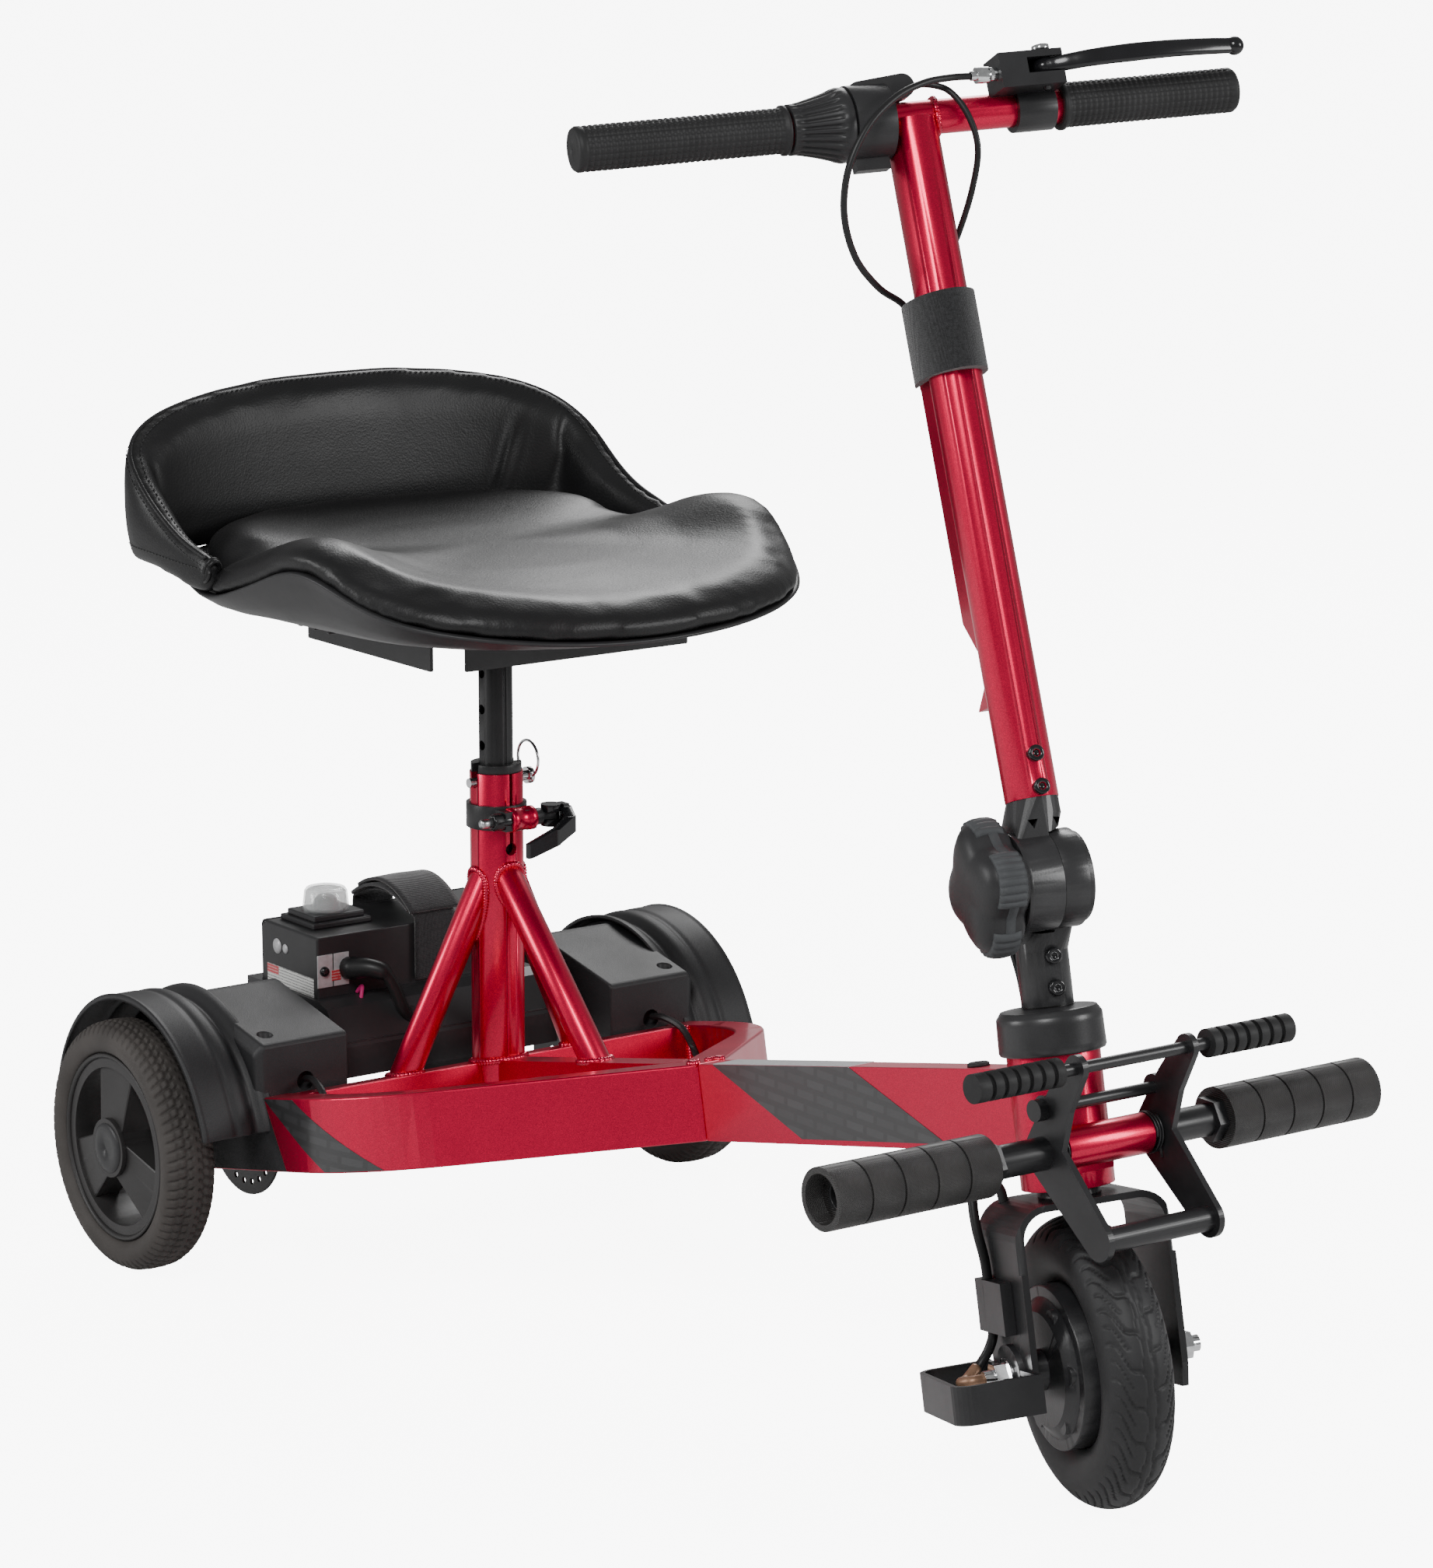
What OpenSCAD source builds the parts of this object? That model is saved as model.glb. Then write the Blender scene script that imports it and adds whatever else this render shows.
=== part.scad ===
// Compact folding three-wheeled mobility scooter.
// Millimetres. +X is forward, +Y is the rider's left, +Z is up and Z = 0 is the ground.
// Modules draw with X = 0 at the rear axle; placed() then centres the scooter on X = 0.

/* [Wheels] */
// Distance between the rear and front axles
wheelbase = 908; // [900:1:916]
// Radius of the rear tyres
rear_r = 104; // [103:0.5:105]
// Width of the rear tyres
rear_w = 46; // [44:1:48]
// Distance from the middle plane to each rear wheel's middle
track_y = 272; // [270:1:274]
// Radius of the front tyre
front_r = 106.7; // [106:0.1:108]
// Width of the front tyre
front_w = 52; // [50:1:53]

/* [Steering] */
// Backward lean of the steering axis, in degrees
rake = 11.4; // [11:0.1:12]
// Distance from under the front axle to where the steering axis meets the ground
trail = 15.7; // [14:0.1:17]
// Turn of the front assembly at rest, in degrees, negative to the rider's right
rest_turn = -15.9; // [-17:0.1:0]
// Backward lean of the tiller from the steering axis, in degrees
tiller_lean = 9.8; // [9:0.1:11]

/* [Frame] */
// Upward slope of the deck beams towards the front, in degrees
deck_tilt = 11.75; // [11.5:0.05:12]
// Height of the deck beams
beam_h = 61; // [60:0.5:62]
// Width of the deck beams
beam_w = 25; // [24:0.5:26]
// Distance from the middle plane to the middle of each side rail at the rear
rail_y = 200; // [198:1:202]
// Distance of the seat tube in front of the rear axle
seat_x = 135; // [133:1:137]
// Outer diameter of the seat tube
seat_tube_d = 44; // [43:0.5:45]
// Outer diameter of the seat post
post_d = 28; // [27:0.5:29]
// Outer diameter of the head tube
head_d = 68; // [67:0.5:69]

/* [Controls] */
// Length of the handlebar over its grips
bar_len = 514; // [506:2:520]
// Diameter of the handlebar tube
bar_d = 25.4; // [25:0.1:26]
// Outer diameter of the tiller tube
tiller_d = 39; // [38:0.5:40]
// Distance from the fold pivot up the tiller to the handlebar
bar_h = 561; // [555:1:566]

/* [Footrest] */
// Height of the footrest tube's axis
rest_z = 270.9; // [270:0.1:272]
// Distance of the footrest tube's axis in front of the rear axle
rest_x = 912.6; // [912:0.1:914]
// Length over the footrest grips
rest_len = 497; // [490:1:500]

/* [Hidden] */
$fn = 48;

// Colours of the finishes
RED = [0.66, 0.03, 0.13];
BLACK = [0.05, 0.05, 0.055];
SATIN = [0.12, 0.12, 0.125];
SILVER = [0.75, 0.76, 0.78];
RUBBER = [0.09, 0.085, 0.085];

// Steering axis, in its own upright frame with its origin where it meets the ground
foot_x = wheelbase + trail;
hub_fwd = front_r * sin(rake) - trail * cos(rake);
hub_up = front_r * cos(rake) + trail * sin(rake);
pivot_fwd = 23.5;
pivot_up = 456.5;
// Middle of the scooter's length, from the backrest to the turned front tyre
axle_dir_x = -sin(rest_turn) * cos(rake);
front_reach = foot_x + hub_fwd * cos(rest_turn) * cos(rake) - hub_up * sin(rake)
    + (front_r - front_w / 2) * sqrt(1 - axle_dir_x * axle_dir_x) + front_w / 2;
back_face = -130;
mid_x = (front_reach + back_face) / 2;
// Deck beams, in the deck's own tilted frame
deck_end = 884;
rail_turn_x = 300;
rail_turn_r = 190;
joint_u = 452;
rail_angle = 46;
run_clear = 0.05;
seam = 0.02;

// ---------- placing ----------
module placed() translate([-mid_x, 0, 0]) children();
module deck() translate([0, 0, rear_r]) rotate([0, -deck_tilt, 0]) children();
module steering() translate([foot_x, 0, 0]) rotate([0, -rake, 0]) rotate([0, 0, rest_turn]) children();
module front_hub() steering() translate([hub_fwd, 0, hub_up]) children();
module tiller() steering() translate([pivot_fwd, 0, pivot_up]) rotate([0, -tiller_lean, 0]) children();
module both_sides() { children(); mirror([0, 1, 0]) children(); }
module along_y(y, d, h) translate([0, y, 0]) rotate([-90, 0, 0]) cylinder(d = d, h = h);
module tube_y(y, d, bore, h) difference() {
    along_y(y, d, h);
    along_y(y - 1, bore, h + 2);
}

// ---------- shared shapes ----------
module rod(a, b, d) {
    v = b - a;
    translate(a) rotate([0, acos(v[2] / norm(v)), atan2(v[1], v[0])]) cylinder(d = d, h = norm(v));
}
module block(low, high) translate(low) cube(high - low);
module socket_bolt(head_d, head_h) difference() {
    cylinder(d = head_d, h = head_h);
    translate([0, 0, head_h / 2]) cylinder(d = head_d / 2, h = head_h, $fn = 6);
}
// Arc points round a centre, from angle a to angle b
function arc(c, r, a, b, n = 16) = [for (i = [0:n]) c + r * [cos(a + (b - a) * i / n), sin(a + (b - a) * i / n)]];
// A swept round cable through points, with `sides` sides
function tangent(p, i) = let (a = p[max(i - 1, 0)], b = p[min(i + 1, len(p) - 1)]) (b - a) / norm(b - a);
function side_of(t) = let (s = abs(t[2]) > 0.95 ? cross(t, [0, 1, 0]) : cross(t, [0, 0, 1])) s / norm(s);
module cable(p, d, sides = 8) {
    rings = [for (i = [0:len(p) - 1], k = [0:sides - 1])
        let (t = tangent(p, i), s = side_of(t), u = cross(s, t), a = 360 * k / sides)
        p[i] + d / 2 * (cos(a) * s + sin(a) * u)];
    n = len(p);
    walls = [for (i = [0:n - 2], k = [0:sides - 1])
        [i * sides + k, i * sides + (k + 1) % sides, (i + 1) * sides + (k + 1) % sides, (i + 1) * sides + k]];
    polyhedron(rings, concat(walls, [[for (k = [sides - 1:-1:0]) k]],
        [[for (k = [0:sides - 1]) (n - 1) * sides + k]]));
}
// Points of a smooth curve through the control points, `n` to a stretch
function spline(c, n = 4) = let (m = len(c) - 1) concat([for (i = [0:m - 1], j = [0:n - 1])
    let (a = c[max(i - 1, 0)], b = c[i], d = c[i + 1], e = c[min(i + 2, m)], t = j / n)
    0.5 * (2 * b + (d - a) * t + (2 * a - 5 * b + 4 * d - e) * t * t + (3 * b - a - 3 * d + e) * t * t * t)],
    [c[m]]);

// ---------- frame ----------
module deck_outline(half) {
    // One side rail seen square to the deck: diagonal from the spine, then a bend, then straight back
    bend = [rail_turn_x - rail_turn_r * sin(rail_angle), rail_y - rail_turn_r];
    outer = arc(bend, rail_turn_r + half, rail_angle, 90, 12);
    inner = arc(bend, rail_turn_r - half, 90, rail_angle, 12);
    back = -34;
    polygon(concat([[joint_u, (outer[0][0] + outer[0][1] - joint_u) * 0 + 0.01]],
        [[joint_u, beam_w / 2]], outer, [[back, rail_y + half], [back, rail_y - half]], inner,
        [[joint_u - beam_w / 2 - 24, 0.01]]));
}
module rail() difference() {
    deck() translate([0, 0, -beam_h / 2]) linear_extrude(beam_h) deck_outline(beam_w / 2);
    translate([0, 0, rear_r]) along_y(100, 16 + 2 * run_clear, 160);
}
module side_rails() color(RED) both_sides() rail();
module seat_tube_space(d) translate([seat_x, 0, 40]) cylinder(d = d, h = 400);
module head_tube_space(d) translate([foot_x, 0, 0]) rotate([0, -rake, 0]) cylinder(d = d, h = 400);
module spine_beam() color(RED) difference() {
    deck() translate([joint_u, -beam_w / 2, -beam_h / 2]) cube([deck_end - joint_u, beam_w, beam_h]);
    head_tube_space(head_d);
}
module cross_beam() color(RED) difference() {
    deck() union() {
        translate([125, -rail_y + beam_w / 2, -beam_h / 2]) cube([beam_w, 2 * rail_y - beam_w, beam_h]);
        translate([125, -beam_w / 2, -beam_h / 2]) cube([joint_u - beam_w / 2 - 24 - 125, beam_w, beam_h]);
    }
    seat_tube_space(seat_tube_d);
    both_sides() rail();
}
seat_top = 408;
// A slot in the top that the seat pin drops into
module pin_slot() translate([seat_x, 0, pin_z]) { along_y(-40, 9, 80); translate([-4.5, -40, 0]) cube([9, 80, 40]); }
module seat_tube() color(RED) difference() {
    intersection() {
        seat_tube_space(seat_tube_d);
        translate([0, 0, rear_r]) rotate([0, -deck_tilt, 0])
            translate([0, -100, -beam_h / 2]) cube([400, 200, 600]);
        block([0, -100, 0], [400, 100, seat_top]);
    }
    translate([seat_x, 0, 40]) cylinder(d = post_d + 4, h = 400);
    // Clamping slot and its relief hole, and the seat pin's hole
    block([seat_x, 0, 345] + [10, -1.5, 0], [seat_x + 30, 1.5, seat_top + 1]);
    translate([seat_x + 8, 0, 345]) rotate([0, 90, 0]) cylinder(d = 10, h = 30);
    pin_slot();
}
pin_z = 400;
brace_top = 318;
brace_d = 25;
module seat_braces() color(RED) difference() {
    union() {
        both_sides() rod([seat_x + 1, 8, brace_top + 10], [seat_x - 12, 96, 138], brace_d);
        rod([seat_x + 6, 0, brace_top + 13], [seat_x + 168, 0, 166], brace_d);
    }
    seat_tube_space(seat_tube_d);
    deck() translate([-50, -150, -200]) cube([500, 300, 200 + beam_h / 2]);
}
sleeve_d = 30;
module head_tube() color(RED) difference() {
    union() {
        translate([foot_x, 0, 0]) rotate([0, -rake, 0]) translate([0, 0, 235]) cylinder(d = head_d, h = 97);
        translate([rest_x, 0, rest_z]) along_y(-39, sleeve_d, 78);
        // Web under the sleeve
        translate([rest_x - 30, -16, rest_z - 22]) cube([26, 32, 30]);
    }
    head_tube_space(34 + 2 * run_clear);
    translate([foot_x, 0, 0]) rotate([0, -rake, 0]) translate([0, 0, 248]) cylinder(d = 50, h = 70);
    translate([rest_x, 0, rest_z]) along_y(-300, rest_tube_d, 600);
}
rest_tube_d = 24;
grip_inner_y = 107;
module footrest_tubes() color(BLACK) translate([rest_x, 0, rest_z])
    tube_y(-rest_len / 2 + 15, rest_tube_d, 19, rest_len - 30);
module footrest_grips() color(RUBBER) translate([rest_x, 0, rest_z]) both_sides() difference() {
    union() {
        for (i = [0:4]) along_y(grip_inner_y + 28.6 * i, 45.5, 27);
        along_y(grip_inner_y, 43, rest_len / 2 - grip_inner_y);
    }
    along_y(grip_inner_y - 1, rest_tube_d, 131);
    along_y(rest_len / 2 - 15, 36, 20);
}
module frame_fasteners() color(BLACK) {
    translate([rest_x, 0, rest_z]) both_sides() difference() {
        translate([0, grip_inner_y - 9, 0]) rotate([-90, 0, 0]) cylinder(d = 34, h = 8.9, $fn = 6);
        along_y(grip_inner_y - 10, rest_tube_d, 12);
    }
    both_sides() translate([screw_x, screw_y, screw_z - 8]) socket_bolt(10, 5);
}

// ---------- rear covers ----------
guard_r = 124;
guard_t = 3;
cover_in = 131;
cover_out = 222;
wall_t = 2.5;
screw_x = 94;
screw_y = 207;
screw_z = 203;
// The housing's side outline, open where it sits on the rail
function housing(t) = [[110 - t, 161 + t * 0.2], [110 - t, 200 - t], [2, 223 - t], [-48 + t / 2, 209 - t],
    [-74 + t, 165], [-74 + t, 122 + t * 0.2]];
module across(y, h) translate([0, y + h, 0]) rotate([90, 0, 0]) linear_extrude(h) children();
module cover() color(SATIN) difference() {
    union() {
        difference() {
            across(cover_in, cover_out - cover_in) polygon(housing(0));
            across(cover_in + wall_t, cover_out - cover_in - 2 * wall_t)
                polygon(concat(housing(wall_t), [[-74 + wall_t, 60], [110 - wall_t, 60]]));
            translate([110, 172, 168]) rotate([0, 90, 0]) cylinder(d = 14, h = 20, center = true);
        }
        // Mudguard arch over the wheel and its inner wall
        translate([0, 0, rear_r]) {
            across(cover_out - 3, half_guard - cover_out + 3) arch(guard_r, guard_r - guard_t);
            across(cover_out - 3, 3) arch(guard_r, 75);
            across(cover_out - 16, 14) arch(guard_r - 6, guard_r - 9);
        }
        // Boss under the screw recess
        translate([screw_x, screw_y, screw_z - 18]) cylinder(d = 17, h = 17);
    }
    translate([screw_x, screw_y, screw_z - 8]) cylinder(d = 12.5, h = 30);
    deck() translate([-120, 100, -100]) cube([240, cover_out - 100, 100 + beam_h / 2 + 0.5]);
}
half_guard = 275;
module arch(r, r_in) polygon(concat(arc([0, 0], r, 14, 164, 32), arc([0, 0], r_in, 164, 14, 32)));
module cover_left() cover();
module cover_right() mirror([0, 1, 0]) cover();

// ---------- battery ----------
box_low = [-72, -103, 150];
box_high = [18, 103, 257];
module battery_tray() color(BLACK) difference() {
    union() {
        across(-108, 216) polygon([[-88, 121.5], [62, 146], [62, 172], [40, 201], [26, 205], [-88, 205]]);
        // Wings out to the wheel covers and a tongue forward to the cross beam
        block([-60, -cover_in, 160], [60, cover_in, 176]);
        block([60, -40, 126], [130, 40, 146]);
    }
    block(box_low - [0.5, 0.5, 0], box_high + [0.5, 0.5, 0]);
    translate([50, -28, 170]) cylinder(d = 9.6, h = 60);
    deck() translate([110, -100, -100]) cube([60, 200, 200]);
}
module battery_box() color(BLACK) difference() {
    block(box_low, box_high);
    for (x = [box_low[0], box_high[0]]) translate([x, -120, box_high[2]]) rotate([0, 45, 0]) cube([5, 240, 5], center = false);
}
strap_y = 8;
module battery_strap() color(BLACK) translate([0, strap_y - 17, 0])
    difference() {
        union() {
            block([box_low[0] - 4, 0, 206], [box_low[0] - 0.3, 34, 262]);
            block([box_high[0] + 0.3, 0, 206], [box_high[0] + 4.5, 34, 262]);
            translate([0, 34, 0]) rotate([90, 0, 0]) linear_extrude(34) polygon(concat(
                [for (i = [0:12]) [box_high[0] + 4.5 - i * 8.21, 261 + 16 * sin(15 * i)]],
                [for (i = [12:-1:0]) [box_high[0] + 0.5 - i * 7.54, 257.4 + 15.5 * sin(15 * i)]]));
        }
        block(box_low - [0.3, 60, 0], box_high + [0.3, 60, 0.3]);
    }
module key_switch() color(BLACK) translate([-34, -62, box_high[2]]) {
    block([-24, -26, 0], [24, 26, 7]);
    block([-20, -22, 7], [20, 22, 12]);
    translate([0, 0, 12]) cylinder(d1 = 34, d2 = 30, h = 16);
}
module battery_lead() color(BLACK) {
    cable(spline([[box_high[0] + 2.4, -58, 226], [34, -50, 226], [46, -38, 222], [52, -30, 212], [50, -28, 198],
        [50, -28, 182]]), 9);
    block([box_high[0] + 0.2, -94, 206], [box_high[0] + 2.2, -46, 246]);
}
module brake_calipers() color(BLACK) both_sides() difference() {
    block([26, disc_y - 18, 128], [72, disc_y + 18, 172]);
    block([0, disc_y - 2.6, 100], [64, disc_y + 2.6, 180]);
    deck() translate([-120, 60, -100]) cube([240, 160, 100 + beam_h / 2 - 60]);
}

// ---------- rear harness ----------
harness_route = spline([[111, 172, 168], [126, 174, 170], [146, 178, 165], [158, 180, 153], [161, 182.5, 144], [162, 183.8, 139]]);
module rear_harness() color(BLACK) both_sides() cable(harness_route, 6);

// ---------- seat clamp and pin ----------
stud_x = seat_x + 31;
module seat_collar() color(BLACK) difference() {
    union() {
        translate([seat_x, 0, seat_top]) cylinder(d = 42, h = 7);
        translate([seat_x, 0, 350]) cylinder(d = post_d + 4, h = seat_top - 350);
        // Clamp stud with its nut, barrel and the eye that the lever turns in
        translate([stud_x, 0, 372]) difference() {
            union() {
                along_y(-26, 8, 48);
                along_y(-24, 14, 7);
                along_y(3, 14, 19);
                translate([0, 33, -3]) cylinder(d = 12, h = 6);
                block([-3, 20, -3], [3, 33, 3]);
            }
            translate([0, 33, -5]) cylinder(d = 4.1, h = 10);
        }
        difference() {
            union() {
                translate([seat_x, 0, 362]) cylinder(d = seat_tube_d + 6, h = 20);
                for (y = [-15, 4]) block([seat_x + 15, y, 364], [stud_x + 6, y + 11, 380]);
            }
            seat_tube_space(seat_tube_d);
            translate([stud_x, 0, 372]) along_y(-30, 8, 60);
        }
    }
    translate([seat_x, 0, 300]) cylinder(d = post_d + 2 * run_clear, h = 200);
    pin_slot();
}
module lever_link(a, b, da, db) hull() {
    translate(a) cylinder(d = da, h = 13, center = true, $fn = 24);
    translate(b) cylinder(d = db, h = 12, center = true, $fn = 24);
}
module clamp_lever() color(BLACK) translate([stud_x, 33, 372]) {
    translate([0, 0, -9]) cylinder(d = 4, h = 18);
    for (z = [-9, 3.2]) translate([0, 0, z]) cylinder(d = 17, h = 5.8);
    block([-3, 7.4, -9], [8, 13, 9]);
    lever_link([5, 11, 0], [20, 6, -5], 10, 9);
    lever_link([20, 6, -5], [25, -12, -13], 9, 8);
    lever_link([25, -12, -13], [19, -34, -23], 8, 6);
}
module seat_pin() color(SILVER) translate([seat_x, 0, pin_z]) {
    along_y(-27, 7.9, 60);
    along_y(29, 14, 5);
    // Pull ring through the head
    translate([0, 31.5, 14]) rotate([90, 0, 0]) rotate_extrude() translate([15, 0]) circle(d = 2.4, $fn = 12);
}

// ---------- rear wheels ----------
module tyre_ring(r, w, bead_r, shoulder) rotate([90, 0, 0]) rotate_extrude($fn = 96)
    polygon(concat([[bead_r, -w / 2 + 6]], arc([r - shoulder, -w / 2 + shoulder], shoulder, -90, -10, 8),
        arc([r - shoulder, w / 2 - shoulder], shoulder, 10, 90, 8), [[bead_r, w / 2 - 6]]));
wheel_out = 22.9;
module rear_tyre() color(RUBBER) translate([0, track_y, rear_r]) tyre_ring(rear_r, rear_w, 78, 15);
module rear_wheel(bore) color(SATIN) translate([0, track_y, rear_r]) difference() {
    union() {
        difference() {
            along_y(-17, 156, 34);
            along_y(-18, 132, 36);
        }
        along_y(-21, 46, 44);
        along_y(wheel_out - 3, 49, 4);
        for (a = [90, 210, 330]) rotate([0, -a, 0]) hull() {
            translate([14, 0, 0]) block([0, -8, -17], [4, 20, 17]);
            translate([62, 0, 0]) block([0, -8, -26], [8, 14, 26]);
        }
    }
    along_y(-40, bore, 58);
}
module brake_disc() color(SILVER) translate([0, disc_y, rear_r]) difference() {
    along_y(-1.2, 120, 2.4);
    for (a = [0:15:345]) rotate([0, a, 0]) translate([49, 0, 0]) along_y(-2, 5, 4);
    for (a = [0:60:300]) rotate([0, a, 0]) translate([30, 0, 0]) along_y(-2, 18, 4);
    along_y(-2, 16, 4);
}
disc_y = 166;
module stub_left() along_y(disc_y - 12, 16, track_y + 10 - disc_y + 12);
module axle_bushes() color(SILVER) translate([0, 0, rear_r]) both_sides() difference() {
    along_y(rail_y - beam_w / 2 - 8, 24, 7.9);
    along_y(rail_y - 30, 16 + 2 * run_clear, 30);
}
module spindle() color(SILVER) translate([0, 0, rear_r]) along_y(disc_y - 10, 16, track_y + 18 - disc_y + 10);
module rear_tyre_left() rear_tyre();
module rear_tyre_right() mirror([0, 1, 0]) rear_tyre();
module rear_wheel_left() { rear_wheel(15.9); spindle(); }
module rear_wheel_right() mirror([0, 1, 0]) rear_wheel_left();
module brake_disc_left() brake_disc();
module brake_disc_right() mirror([0, 1, 0]) brake_disc();

// ---------- seat ----------
post_low = 190;
module seat_post() color(BLACK) difference() {
    translate([seat_x, 0, post_low]) cylinder(d = post_d, h = 544 - post_low);
    translate([seat_x, 0, post_low - 1]) cylinder(d = 24, h = 544 - post_low - 8);
    for (z = [pin_z - 180:30:pin_z + 90]) translate([seat_x, 0, z]) along_y(-20, 8.1, 40);
    translate([seat_x + 14.4, 0, post_low - 1]) cylinder(d = 3, h = 500);
}
module seat_bracket() color(BLACK) {
    difference() {
        union() {
            block([18, -107, 538], [256, 107, 542]);
            both_sides() block([18, 104, 512], [204, 107, 538]);
            block([253, -107, 520], [256, 107, 538]);
            translate([seat_x, 0, 520]) cylinder(d = 44, h = 18);
            translate([-20, -48, 528]) cube([74, 96, 10]);
        }
        translate([seat_x, 0, 500]) cylinder(d = post_d, h = 50);
    }
}
// Height of the pan's edge round the seat, from the front (0 degrees) to the back (180 degrees)
function edge_z(a) = 580 - 24 * pow(max(cos(a), 0), 3) + 26 * exp(-pow((abs(a) - 72) / 16, 2))
    - 12 * exp(-pow((abs(a) - 108) / 12, 2));
// Plan outline of the seat, a rounded square about the seat's middle
function outline_r(a, half_l, half_w, n) = pow(pow(abs(cos(a)) / half_l, n) + pow(abs(sin(a)) / half_w, n), -1 / n);
seat_mid = 124;
function seat_point(a, grow, z) = [seat_mid + outline_r(a, 249 + grow, 231 + grow, 2.7) * cos(a),
    outline_r(a, 249 + grow, 231 + grow, 2.7) * sin(a), z];
steps = 48;
angles = [for (i = [0:steps - 1]) 360 * i / steps - 180];
module seat_pan() color(BLACK) {
    bottom = [for (a = angles) seat_point(a, -70, 544)];
    middle = [for (a = angles) seat_point(a, -14, max(edge_z(a) - 22, 547))];
    rim = [for (a = angles) seat_point(a, 0, edge_z(a) - 4)];
    top = [for (a = angles) seat_point(a, -8, edge_z(a) - 2)];
    dish = [for (a = angles) seat_point(a, -60, 549)];
    loft([bottom, middle, rim, top, dish]);
}
module seat_cushion() color(BLACK) {
    base = [for (a = angles) seat_point(a, -70, 550)];
    low = [for (a = angles) seat_point(a, -9, edge_z(a) - 1)];
    side = [for (a = angles) seat_point(a, -6, edge_z(a) + 12)];
    crown = [for (a = angles) seat_point(a, -28, edge_z(a) + 20)];
    crest = [for (a = angles) seat_point(a, -90, 588)];
    loft([base, low, side, crown, crest]);
}
// Backrest: a low wrap-round wall behind the cushion, from one side to the other
back_steps = 32;
function back_u(i) = 2 * i / back_steps - 1;
function back_in(u) = [back_face + 32 + 158 * pow(abs(u), 6), 216 * sin(90 * u)];
function back_top(u) = 706 - 26 * u * u - 66 * pow(abs(u), 6);
module backrest_pad() color(BLACK) {
    rows = [for (i = [0:back_steps]) let (u = back_u(i), p = back_in(u), t = 22 - 12 * pow(abs(u), 6),
        d = unit2([p[0] - 150, p[1]]), h = back_top(u), z = edge_z(atan2(p[1], p[0] - seat_mid)) + 21)
        [[p[0], p[1], z], [p[0] + d[0] * 10, p[1] + d[1] * 10, h], [p[0] + d[0] * (t + 10), p[1] + d[1] * (t + 10), h],
         [p[0] + d[0] * t, p[1] + d[1] * t, z]]];
    n = back_steps + 1;
    pts = [for (r = rows, q = r) q];
    polyhedron(pts, concat([[0, 1, 2, 3]], [for (i = [0:n - 2], k = [0:3])
        [4 * i + k, 4 * (i + 1) + k, 4 * (i + 1) + (k + 1) % 4, 4 * i + (k + 1) % 4]],
        [[4 * n - 1, 4 * n - 2, 4 * n - 3, 4 * n - 4]]));
}
function unit2(v) = v / norm(v);
// A closed skin through rings of equal length, the first facing down and the last up
module loft(rings) {
    n = len(rings[0]);
    m = len(rings);
    polyhedron([for (r = rings, q = r) q], concat(
        [[for (k = [0:n - 1]) k]],
        [for (i = [0:m - 2], k = [0:n - 1]) [i * n + k, (i + 1) * n + k, (i + 1) * n + (k + 1) % n, i * n + (k + 1) % n]],
        [[for (k = [n - 1:-1:0]) (m - 1) * n + k]]));
}

// ---------- parking brake ----------
plate_y = 48;
plate_t = 5;
bar_at = [61, -50.5];
rod_at = [33.6, 68.9];
low_rod_at = [-1, 32];
module pedal_plate() translate([rest_x, plate_y, rest_z]) difference() {
    translate([0, plate_t, 0]) rotate([90, 0, 0]) linear_extrude(plate_t) union() {
        hull() { circle(r = 19); translate(bar_at) circle(r = 14); }
        hull() { circle(r = 19); translate([16, 40]) circle(r = 13); }
        hull() { translate([16, 40]) circle(r = 13); translate(rod_at) circle(r = 10); }
        hull() { translate([8, 24]) circle(r = 13); translate(low_rod_at) circle(r = 10); }
    }
    along_y(-1, rest_tube_d + 2 * run_clear, plate_t + 2);
}
module brake_pedal_frame() color(BLACK) {
    both_sides() pedal_plate();
    translate([rest_x + bar_at[0], 0, rest_z + bar_at[1]]) along_y(-plate_y, 18, 2 * plate_y);
    translate([rest_x + rod_at[0], 0, rest_z + rod_at[1]]) difference() {
        along_y(-141, 9, 282);
        both_sides() along_y(plate_y, 9, plate_t);
    }
    translate([rest_x + low_rod_at[0], 0, rest_z + low_rod_at[1]]) along_y(-plate_y, 9, 2 * plate_y);
    translate([rest_x + low_rod_at[0], 0, rest_z + low_rod_at[1]]) both_sides()
        translate([0, plate_y + plate_t, 0]) along_y(0, 16, 8);
}
module pedal_rubbers() color(RUBBER) translate([rest_x + rod_at[0], 0, rest_z + rod_at[1]]) both_sides() difference() {
    union() {
        along_y(68, 16, 74);
        for (i = [0:6]) along_y(68 + 11 * i, 21, i == 6 ? 10 : 7.5);
    }
    along_y(60, 9, 81);
}

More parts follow.
